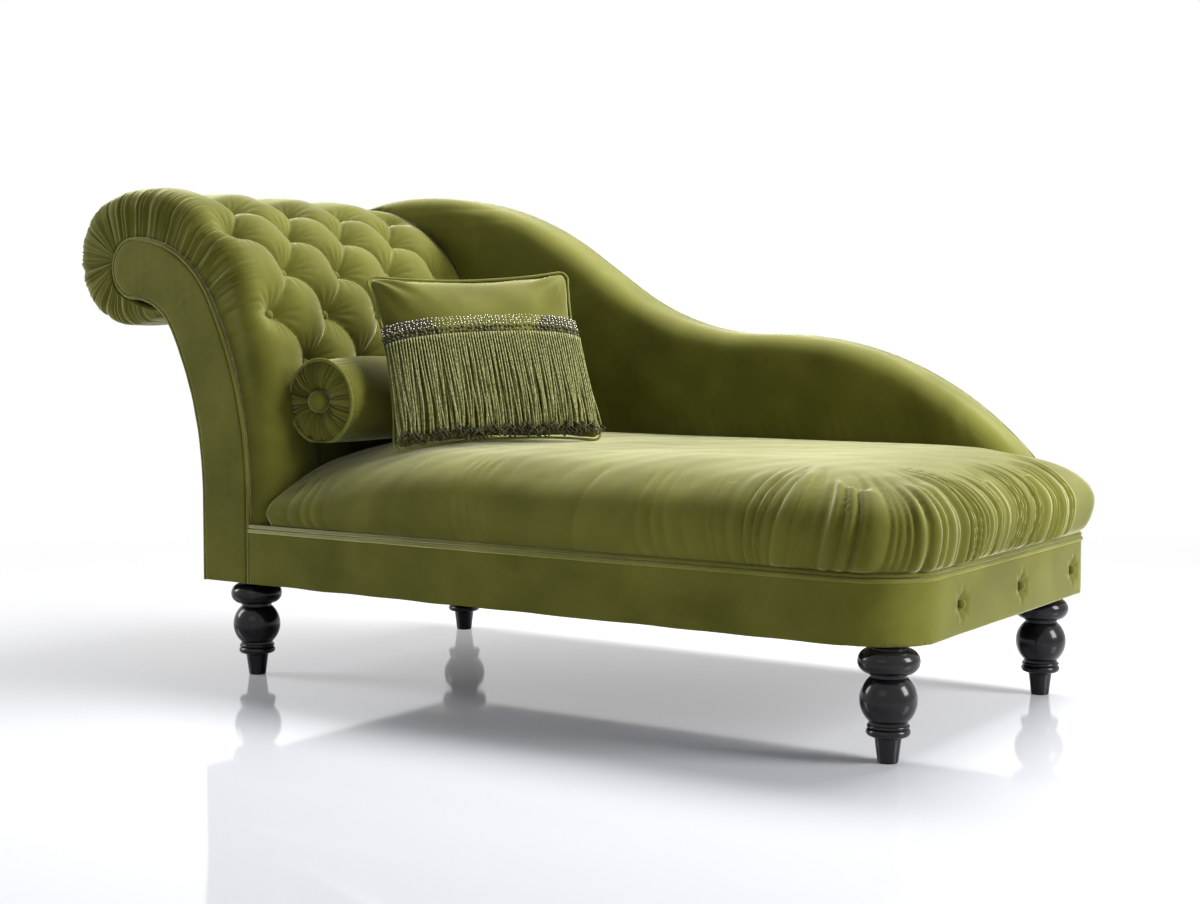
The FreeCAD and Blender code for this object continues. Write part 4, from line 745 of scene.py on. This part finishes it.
def seat_pad():
    piece = remeshed("seat_pad_velvet", "seat_pad", SEAT_VOXEL * MM, rounds=6)
    finer_where(piece, at_folds)
    apply_modifier(piece, "SMOOTH", factor=0.5, iterations=2)
    push(piece, seat_folds)
    apply_modifier(piece, "SMOOTH", factor=0.35, iterations=1)
    return finish_piece(piece, "root", olive, ["seat_pad"])


seat_pad()

# %% [markdown]
# The padded band round the seat box is flat and tight. Its foot face has three small buttons, and each pulls
# the cloth into a shallow dimple with short creases round it. The lower edge is never quite straight.

# %% Rail cover
BUTTON_PLACES_Y = (-180.0, 58.0, 290.0)
BUTTON_Z = 215.0
COVER_VOXEL = 3.4


def cover_folds(points, normals):
    _, y, z = points.T
    total = 0.5 * uneven(points, 120.0, 31)
    faces_foot = ease(normals[:, 0], 0.6, 0.95)
    for button_y in BUTTON_PLACES_Y:
        reach = np.sqrt((y - button_y) ** 2 + (z - BUTTON_Z) ** 2)
        angle = np.arctan2(z - BUTTON_Z, y - button_y)
        creases = 0.9 * np.cos(6.0 * angle + 0.8) * np.exp(-((reach - 17.0) / 9.0) ** 2)
        total += faces_foot * (creases - 1.5 * np.exp(-(reach / 14.0) ** 2))
    return total


def rail_cover():
    piece = remeshed("rail_cover_velvet", "rail_cover", COVER_VOXEL * MM, rounds=3)
    push(piece, cover_folds)
    return finish_piece(piece, "root", olive, ["rail_cover"])


rail_cover()

# %% [markdown]
# The long back is smooth. Its cloth is stretched from the rolled front edge down to the seat, so it has only
# slow waves, and faint pulls low down and towards the head.

# %% Long back
BACK_VOXEL = 5.5
BACK_PULLS = (1.2, 38.0, 43)
HEAD_PULLS = (1.4, 52.0, 44)


def back_folds(points, normals):
    x, y, z = points.T
    shown = 1.0 - ease(y, 300.0, 340.0)
    slow = 1.3 * uneven(points, 260.0, 41) + 0.5 * uneven(points, 90.0, 42)
    pulls = gathered(x + 0.35 * z, BACK_PULLS) * (1.0 - ease(z, 430.0, 520.0))
    by_head = gathered(z, HEAD_PULLS) * (1.0 - ease(x, -420.0, -280.0))
    return (slow + pulls + by_head) * shown


def long_back():
    piece = remeshed("back_pad_velvet", "back_pad", BACK_VOXEL * MM, rounds=6)
    push(piece, back_folds)
    return finish_piece(piece, "root", olive, ["back_pad"])


long_back()

# %% [markdown]
# Each scroll facing is a thin padded panel. It swells a little inside its piping, so the light rolls off
# towards the cord all round. The swell follows the distance from the panel's edge.

# %% Facings
FACING_VOXEL = 2.6
FACING_SWELL = 3.4
RIM_POINTS = 1500
BATCH = 4000


def facing(name, node, outside):
    piece = remeshed(name, node, FACING_VOXEL * MM, rounds=2)
    points = points_of(piece) / MM
    low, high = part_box(node)
    face_y = (low.y if outside < 0 else high.y) / MM
    on_face = np.abs(points[:, 1] - face_y) < 2.2
    rim = points[~on_face][:, (0, 2)]
    step = max(1, len(rim) // RIM_POINTS)
    rim = rim[::step]
    flat = points[:, (0, 2)]
    nearest = np.full(len(points), 1e6)
    for start in range(0, len(points), BATCH):
        part = flat[start:start + BATCH]
        nearest[start:start + BATCH] = np.sqrt(((part[:, None] - rim[None]) ** 2).sum(2)).min(1)
    swell = FACING_SWELL * ease(nearest, 0.0, 34.0) + 0.35 * uneven(points, 110.0, 51)
    points[:, 1] += outside * np.where(on_face, swell, 0.0)
    set_points(piece, points * MM)
    return finish_piece(piece, "root", olive, [node])


facing("facing_front_velvet", "scroll_facing_front", -1.0)
facing("facing_rear_velvet", "scroll_facing_rear", 1.0)

# %% [markdown]
# The bolster is a stuffed roll. Both ends are gathered to a large covered button, so fine folds run from
# the button out to the piped rim, and a little cloth is loose over the body. It is a turned skin:
# rings of points round its axis, with the gathers as a function of the angle.

# %% Bolster
bolster_low, bolster_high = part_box("bolster_pad")
bolster_x = (bolster_low.x + bolster_high.x) / 2 / MM
BOLSTER_RADIUS = (bolster_high.x - bolster_low.x) / 2 / MM
bolster_z = bolster_high.z / MM - BOLSTER_RADIUS
bolster_floor = bolster_low.z / MM
DOME = 10.0
WELL = 20.0
ROUND_POINTS = 288
END_RINGS = 26
BODY_RINGS = 110
RIM_DROP = 3.0
BROAD_GATHERS = (1.0, 10.6, 61)
SMALL_GATHERS = (0.35, 4.6, 62)
bolster_start = bolster_low.y / MM + DOME
bolster_end = bolster_high.y / MM - DOME


def bolster_profile():
    """Radius, place along the axis and how strongly it is gathered, from one well to the other."""
    rim = BOLSTER_RADIUS - RIM_DROP
    profile = []
    for share in np.linspace(0.0, 1.0, END_RINGS):
        radius = WELL + (rim - WELL) * share
        profile.append((radius, bolster_start - DOME * math.sin(math.pi * share ** 0.9), 1.0))
    length = bolster_end - bolster_start
    for share in np.linspace(0.0, 1.0, BODY_RINGS)[1:-1]:
        end_distance = min(share, 1.0 - share) * length
        radius = rim + RIM_DROP * ease(end_distance, 0.0, 70.0)
        strength = 0.32 * (1.0 - ease(end_distance, 6.0, 90.0))
        profile.append((float(radius), bolster_start + share * length, float(strength)))
    for radius, along, strength in reversed(profile[:END_RINGS]):
        profile.append((radius, bolster_start + bolster_end - along, strength))
    return profile


def bolster_pad():
    angles = np.linspace(0.0, 2 * math.pi, ROUND_POINTS, endpoint=False)
    folds = gathered(angles * 60.0, BROAD_GATHERS) + gathered(angles * 60.0, SMALL_GATHERS)
    folds = folds * (1.0 - ease(angles, 6.1, 6.28)) * ease(angles, 0.0, 0.17) - 0.3
    rings = []
    for radius, along, strength in bolster_profile():
        loose = 0.9 * np.sin(angles * 3.0 + along * 0.021) + 0.7 * np.sin(angles * 5.0 - along * 0.034)
        grown = radius + strength * 2.2 * folds + (1.0 - min(1.0, strength)) * loose
        sink = strength * 6.5 * folds if strength >= 1.0 else 0.0 * folds
        outside = -1.0 if along < (bolster_start + bolster_end) / 2 else 1.0
        x = bolster_x + grown * np.cos(angles)
        z = np.maximum(bolster_z + grown * np.sin(angles), bolster_floor)
        y = along + outside * sink
        rings.append(list(zip(x * MM, y * MM, z * MM)))
    piece = grid_piece("bolster_velvet", rings)
    return finish_piece(piece, "bolster", olive, ["bolster_pad"])


def bolster_buttons():
    places = [
        ((bolster_x * MM, (bolster_start - 1.5) * MM, bolster_z * MM), (0.0, -1.0, 0.0)),
        ((bolster_x * MM, (bolster_end + 1.5) * MM, bolster_z * MM), (0.0, 1.0, 0.0)),
    ]
    piece = copies("bolster_buttons_velvet", dome("large_button", 20.0 * MM, 9.0 * MM), places)
    return finish_piece(piece, "bolster", olive, ["bolster_buttons"])


bolster_pad()
bolster_buttons()

# %% [markdown]
# The throw cushion leans on the bolster. Its own frame has the turn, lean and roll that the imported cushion
# was given, and starts at the middle of that cushion's box. The beaded braid and the fringe are made in
# that frame and then carried to their place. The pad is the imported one, with a remeshed skin, and only its
# folds use the frame.

# %% The cushion's own frame
CUSHION_TURN = 52.2
CUSHION_LEAN = 29.8
CUSHION_ROLL = 2.1
CUSHION_HEIGHT = 341.0
CUSHION_WIDTH = 370.0
CUSHION_DEPTH = 100.0


def turn_about(axis, degrees):
    return Matrix.Rotation(math.radians(degrees), 3, axis)


cushion_upright = turn_about("Z", CUSHION_TURN) @ turn_about("X", 90.0 - CUSHION_LEAN)
cushion_axes = cushion_upright @ turn_about("Z", CUSHION_ROLL)
cushion_points = points_of(frame["nodes"]["cushion_pad"])
cushion_centre = Vector((cushion_points.max(0) + cushion_points.min(0)) / 2)
to_world = np.array(cushion_axes)
print("cushion centre", [round(value, 3) for value in cushion_centre])


def carried(points):
    """From the cushion's own frame, in millimetres, to the chaise's frame in metres."""
    return (np.asarray(points) * MM) @ to_world.T + np.array(cushion_centre)


def local(points):
    """From the chaise's frame in millimetres to the cushion's own."""
    return (points * MM - np.array(cushion_centre)) @ to_world / MM


def cushion_face(x, y):
    """Height of the cushion's crown over its middle plane, in its own frame."""
    u = np.clip(np.abs(x) / (CUSHION_WIDTH / 2), 0.0, 1.0)
    v = np.clip(np.abs(y) / (CUSHION_HEIGHT / 2), 0.0, 1.0)
    return CUSHION_DEPTH / 2 * ((1.0 - u ** 2.6) * (1.0 - v ** 2.6)) ** 0.52


# %% [markdown]
# Each point is then held within a cap of about a millimetre. A cap of 6 mm buried much of the braid, and
# with this one its dark ground still lies under the cloth along the middle. Folds at the corners are pushed
# in after.

# %% Cushion pad
CLOTH_FRAMES = 20
CLOTH_CAP = 1.2
CLOTH_PRESSURE = 4.0
CUSHION_VOXEL = 4.0
CORNER_PULL = 1.9
EDGE_GATHERS = (1.2, 21.0, 72)


def swell_as_cloth(piece, cap):
    """Blow the skin up a little as cloth does under pressure, and hold each point within a cap."""
    before = points_of(piece)
    deselect()
    piece.select_set(True)
    bpy.context.view_layer.objects.active = piece
    cloth = piece.modifiers.new("cloth", "CLOTH")
    cloth.settings.use_pressure = True
    cloth.settings.uniform_pressure_force = CLOTH_PRESSURE
    cloth.settings.effector_weights.gravity = 0.0
    cloth.settings.quality = 4
    for number in range(1, CLOTH_FRAMES + 1):
        bpy.context.scene.frame_set(number)
    bpy.ops.object.modifier_apply(modifier=cloth.name)
    bpy.context.scene.frame_set(1)
    moved = points_of(piece) - before
    length = np.linalg.norm(moved, axis=1)
    scale = np.minimum(1.0, cap * MM / np.maximum(length, 1e-9))
    set_points(piece, before + moved * scale[:, None])
    print("cloth moved up to", round(float(length.max() / MM), 1), "mm, held to", cap)


def cushion_folds(points, normals):
    x, y, _ = local(points).T
    total = 0.9 * uneven(points, 80.0, 71)
    corner = np.minimum(CUSHION_WIDTH / 2 - np.abs(x), CUSHION_HEIGHT / 2 - np.abs(y))
    for side_x in (-1.0, 1.0):
        for side_y in (-1.0, 1.0):
            dx = side_x * CUSHION_WIDTH / 2 - x
            dy = side_y * CUSHION_HEIGHT / 2 - y
            reach = np.sqrt(dx ** 2 + dy ** 2)
            angle = np.arctan2(np.abs(dy), np.abs(dx))
            total += CORNER_PULL * np.cos(14.0 * angle) * np.exp(-((reach - 55.0) / 40.0) ** 2)
    total += gathered(x, EDGE_GATHERS) * (1.0 - ease(corner, 4.0, 34.0))
    return total


def cushion_pad():
    piece = remeshed("cushion_velvet", "cushion_pad", CUSHION_VOXEL * MM, rounds=3)
    swell_as_cloth(piece, CLOTH_CAP)
    push(piece, cushion_folds)
    return finish_piece(piece, "cushion", olive, ["cushion_pad"])


cushion_pad()

# %% [markdown]
# The braid across the cushion has four rows of small silver beads on a dark woven ground. Under them two
# rows of dark knots lie between three rows of small pale ones. From the knots hang the strands of the
# fringe, in two layers. A strand is a thin cord that follows the cushion's face down and ends in a dark
# loop. Each is a tube with few faces, because there are so many.

# %% Braid
BRAID_TOP = 60.0
BRAID_LOW = 20.0
BRAID_HALF = CUSHION_WIDTH / 2 - 5.0
KNIFE_EDGE = 7.0
BEAD_LIFT = 2.6
GROUND_LIFT = 1.6
GROUND_SINK = -3.0
GROUND_STEPS = 90


def on_cushion(x, y, lift):
    """A point over the cushion's front, in its own frame. At the edges it stays in front of the piping."""
    return np.stack([x, y, np.maximum(cushion_face(x, y), KNIFE_EDGE) + lift], axis=-1)


def bead_rows(name, rows, radius, pitch, material, seed):
    deselect()
    bpy.ops.mesh.primitive_ico_sphere_add(subdivisions=1, radius=radius * MM)
    bead = bpy.context.object
    random = np.random.RandomState(seed)
    places = []
    for y in rows:
        for x in np.arange(-BRAID_HALF, BRAID_HALF, pitch):
            shift = random.uniform(-0.25, 0.25, 2) * pitch
            spot = on_cushion(np.array(x + shift[0]), np.array(y + shift[1]), BEAD_LIFT)
            places.append((tuple(carried(spot)), tuple(to_world[:, 2])))
    piece = copies(name, bead, places)
    return finish_piece(piece, "cushion", material)


def braid_band():
    """The woven ground of the braid: a thin raised strip that follows the cushion's face."""
    across = np.linspace(-BRAID_HALF, BRAID_HALF, GROUND_STEPS)
    heights = np.linspace(BRAID_LOW, BRAID_TOP, 9)
    rings = []
    for x in across:
        upper = [on_cushion(np.array(x), np.array(y), GROUND_LIFT) for y in heights]
        lower = [on_cushion(np.array(x), np.array(y), GROUND_SINK) for y in reversed(heights)]
        rings.append([tuple(point) for point in carried(upper + lower)])
    piece = grid_piece("braid_band", rings)
    return finish_piece(piece, "cushion", dark_yarn, ["cushion_braid"])


braid_band()
bead_rows("braid_beads", (57.0, 52.0, 47.0, 42.0), 1.8, 6.4, silver, 81)
bead_rows("braid_knots", (35.0, 26.0), 3.3, 7.6, dark_yarn, 82)
bead_rows("braid_picots", (38.5, 30.5, 22.0), 1.9, 7.6, yarn, 83)

# %% Fringe
STRANDS = 74
STRAND_RADIUS = 1.45
STRAND_SIDES = 6
FRINGE_END = -CUSHION_HEIGHT / 2 - 1.0
TIP = 15.0
LAYERS = ((6.4, 0.0), (2.6, 0.5))


def strand_line(x, drift, lift, end, wave):
    """The middle line of one strand, from the knots down over the cushion's face."""
    share = np.linspace(0.0, 1.0, 18)
    y = BRAID_LOW + 2.0 + (end - BRAID_LOW - 2.0) * share
    line_x = x + drift * share ** 1.6 + 1.8 * np.sin(share * 5.0 + wave) * share
    line = on_cushion(line_x, y, lift)
    line[:, 2] += 1.6 * np.sin(share * 9.0 + 2.0 * wave) * share + 5.0 * share ** 2
    return line


def tip_line(start, wave):
    """The looped end of a strand: a small curl that hangs from its last point."""
    share = np.linspace(0.0, 1.0, 7)
    curl = 3.4 * np.sin(2 * math.pi * share + wave)
    curl -= curl[0]
    out = 3.0 * np.sin(math.pi * share)
    return np.stack([start[0] + curl, start[1] - TIP * share, start[2] + out], axis=1)


def tube_rings(line, radius, sides):
    """Rings round a line that runs mostly along y."""
    around = np.linspace(0.0, 2 * math.pi, sides, endpoint=False)
    rings = []
    for number, middle in enumerate(line):
        swell = radius * (1.25 if number == 0 else 1.0)
        ring = [middle + swell * np.array((math.cos(a), 0.0, math.sin(a))) for a in around]
        rings.append(ring)
    return rings


def strand_mesh(name, lines, radius, material, nodes=()):
    points = []
    faces = []
    for line in lines:
        rings = tube_rings(line, radius, STRAND_SIDES)
        start = len(points)
        for ring in rings:
            points += [tuple(point) for point in carried(ring)]
        faces += tube_faces(start, len(rings), STRAND_SIDES)
    piece = meshed(name, points, faces)
    outward(piece)
    return finish_piece(piece, "cushion", material, nodes)


def fringe():
    random = np.random.RandomState(91)
    strands = []
    tips = []
    for lift, shift in LAYERS:
        for number in range(STRANDS):
            x = -BRAID_HALF + 2 * BRAID_HALF * (number + 0.5 + shift * 0.5) / STRANDS
            wave = random.uniform(0.0, 6.0)
            end = FRINGE_END + TIP + random.uniform(-3.0, 9.0)
            line = strand_line(x, random.uniform(-8.0, 8.0), lift, end, wave)
            strands.append(line)
            tips.append(tip_line(line[-1], wave))
    strand_mesh("fringe_strands", strands, STRAND_RADIUS, yarn, ["cushion_fringe"])
    strand_mesh("fringe_tips", tips, STRAND_RADIUS * 1.3, dark_yarn)
    print("strands", len(strands))


fringe()

# %% [markdown]
# A piping is a cord wrapped in a strip of velvet, so it is a little lumpy: the wrap pulls in at each
# stitch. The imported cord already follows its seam. Its loose triangles are merged, and the stitches are
# pushed into it. The seat has a second cord under the first, as the picture shows a double line. It is the
# first one lowered, and moved outwards from the seat's middle so that it lies proud of the band.

# %% Pipings
STITCH = 9.0
SECOND_DROP = 7.6
SECOND_OUT = 2.4


def cord_stitches(points, normals):
    return 0.22 * uneven(points, STITCH, 101) + 0.12 * uneven(points, 26.0, 102)


# By default a cord takes the lighter velvet, a painted highlight on the cord.
def piping(name, node, body, material=piping_velvet_painted_highlight):
    piece = merged_copy(name, node)
    push(piece, cord_stitches)
    return finish_piece(piece, body, material, [node])


def second_cord(first):
    """The first cord again, lower and a little further out."""
    piece = placed("seat_piping_lower", first.data.copy())
    points = points_of(piece) / MM
    inner_x = FOOT - CORNER
    inner_y = FRONT + CORNER
    out_x = np.maximum(points[:, 0] - inner_x, 0.0)
    out_y = np.minimum(points[:, 1] - inner_y, 0.0)
    reach = np.maximum(np.sqrt(out_x ** 2 + out_y ** 2), 1e-6)
    points[:, 0] += SECOND_OUT * out_x / reach
    points[:, 1] += SECOND_OUT * out_y / reach
    points[:, 2] -= SECOND_DROP
    set_points(piece, points * MM)
    # The lower cord takes the lighter velvet, a painted highlight.
    return finish_piece(piece, "root", piping_velvet_painted_highlight)


second_cord(piping("seat_piping_upper", "seat_piping", "root", olive))
piping("scroll_cord_front", "scroll_piping_front", "root")
piping("scroll_cord_rear", "scroll_piping_rear", "root")
piping("bolster_cords", "bolster_piping", "bolster")
piping("cushion_cord", "cushion_piping", "cushion")

# %% [markdown]
# The three buttons on the foot's face are sunk into the band's dimples, each a covered dome like those of
# the head.

# %% Foot buttons
def foot_buttons():
    x = (FOOT - 3.0) * MM
    places = [((x, y * MM, BUTTON_Z * MM), (1.0, 0.0, 0.0)) for y in BUTTON_PLACES_Y]
    piece = copies("foot_buttons_velvet", dome("foot_button", 7.5 * MM, 3.6 * MM), places)
    return finish_piece(piece, "root", olive, ["foot_buttons"])


foot_buttons()

# %% [markdown]
# The chaise stands on a pale glossy floor, which fades to white on the side away from the picture's camera.
# Seen from other sides, the floor is grey and its far edge shows. One wide lamp hangs above and behind, and
# makes the tops of the velvet glow. One stands past the foot and one to the left, and a weak wide one fills
# the front. The background is white to the camera and in reflections only, so it adds no light to the cloth.

# %% Floor, light and background
FLOOR_SIZE = 60.0
FADE_START = -0.7
FADE_END = 2.5
FLOOR_COLOUR = (0.78, 0.79, 0.83, 1.0)
WHITE = (1.0, 1.0, 1.0, 1.0)
AMBIENT = 0.22


def stage_floor():
    """A glossy pale floor that fades to white behind the chaise, as the picture's camera sees it."""
    deselect()
    bpy.ops.mesh.primitive_plane_add(size=FLOOR_SIZE, location=(0.0, 0.0, 0.0))
    floor = bpy.context.object
    floor.name = "floor"
    material, nodes, links, shader, place = new_material("pale_floor")
    set_inputs(shader, {"Base Color": FLOOR_COLOUR, "Roughness": 0.06, "Specular IOR Level": 0.6})
    mapping = nodes.new("ShaderNodeMapping")
    mapping.vector_type = "TEXTURE"
    set_inputs(mapping, {"Rotation": (0.0, 0.0, CAMERA_TURN)})
    links.new(place, mapping.inputs["Vector"])
    parts = nodes.new("ShaderNodeSeparateXYZ")
    links.new(mapping.outputs["Vector"], parts.inputs["Vector"])
    fade = nodes.new("ShaderNodeMapRange")
    fade.interpolation_type = "SMOOTHSTEP"
    set_inputs(fade, {"From Min": FADE_START, "From Max": FADE_END})
    links.new(parts.outputs["Y"], fade.inputs["Value"])
    glow = nodes.new("ShaderNodeEmission")
    set_inputs(glow, {"Color": WHITE, "Strength": 1.0})
    seen = nodes.new("ShaderNodeLightPath")
    share = nodes.new("ShaderNodeMath")
    share.operation = "MULTIPLY"
    links.new(fade.outputs["Result"], share.inputs[0])
    links.new(seen.outputs["Is Camera Ray"], share.inputs[1])
    mix = nodes.new("ShaderNodeMixShader")
    links.new(share.outputs["Value"], mix.inputs["Fac"])
    links.new(shader.outputs["BSDF"], mix.inputs[1])
    links.new(glow.outputs["Emission"], mix.inputs[2])
    links.new(mix.outputs["Shader"], nodes["Material Output"].inputs["Surface"])
    floor.data.materials.append(material)
    floor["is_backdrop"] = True


def world_light():
    world = bpy.context.scene.world or bpy.data.worlds.new("world")
    bpy.context.scene.world = world
    world.use_nodes = True
    nodes, links = world.node_tree.nodes, world.node_tree.links
    nodes.clear()
    path = nodes.new("ShaderNodeLightPath")
    seen = nodes.new("ShaderNodeMath")
    seen.operation = "MAXIMUM"
    links.new(path.outputs["Is Camera Ray"], seen.inputs[0])
    links.new(path.outputs["Is Glossy Ray"], seen.inputs[1])
    ambient = nodes.new("ShaderNodeBackground")
    set_inputs(ambient, {"Color": (0.92, 0.95, 1.0, 1.0), "Strength": AMBIENT})
    white = nodes.new("ShaderNodeBackground")
    set_inputs(white, {"Color": WHITE, "Strength": 1.0})
    mix = nodes.new("ShaderNodeMixShader")
    links.new(seen.outputs["Value"], mix.inputs["Fac"])
    links.new(ambient.outputs["Background"], mix.inputs[1])
    links.new(white.outputs["Background"], mix.inputs[2])
    output = nodes.new("ShaderNodeOutputWorld")
    links.new(mix.outputs["Shader"], output.inputs["Surface"])


def lamp(name, place, aim, size, power):
    bpy.ops.object.light_add(type="AREA", location=place)
    light = bpy.context.object
    light.name = name
    light.data.shape = "RECTANGLE"
    light.data.size, light.data.size_y = size
    light.data.energy = power
    light.rotation_euler = (Vector(aim) - Vector(place)).to_track_quat("-Z", "Y").to_euler()


stage_floor()
world_light()
lamp("top_lamp", (0.3, 0.9, 2.2), (0.1, 0.0, 0.4), (2.2, 0.9), 104.0)
lamp("foot_lamp", (2.9, 0.3, 1.3), (0.3, 0.0, 0.45), (0.9, 1.2), 70.0)
lamp("left_lamp", (-2.6, -1.0, 1.4), (-0.5, 0.0, 0.6), (0.7, 1.3), 34.0)
lamp("front_lamp", (0.6, -3.4, 1.9), (0.0, 0.0, 0.4), (2.0, 1.2), 6.0)

# %% [markdown]
# The last step compares the dressed chaise with the imported model.

# %% Finish
dressed_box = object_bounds()
growth = [round((after - before) / MM, 1) for before, after in zip(model_box[1], dressed_box[1])]
print("grew by", growth, "mm at the far corner")
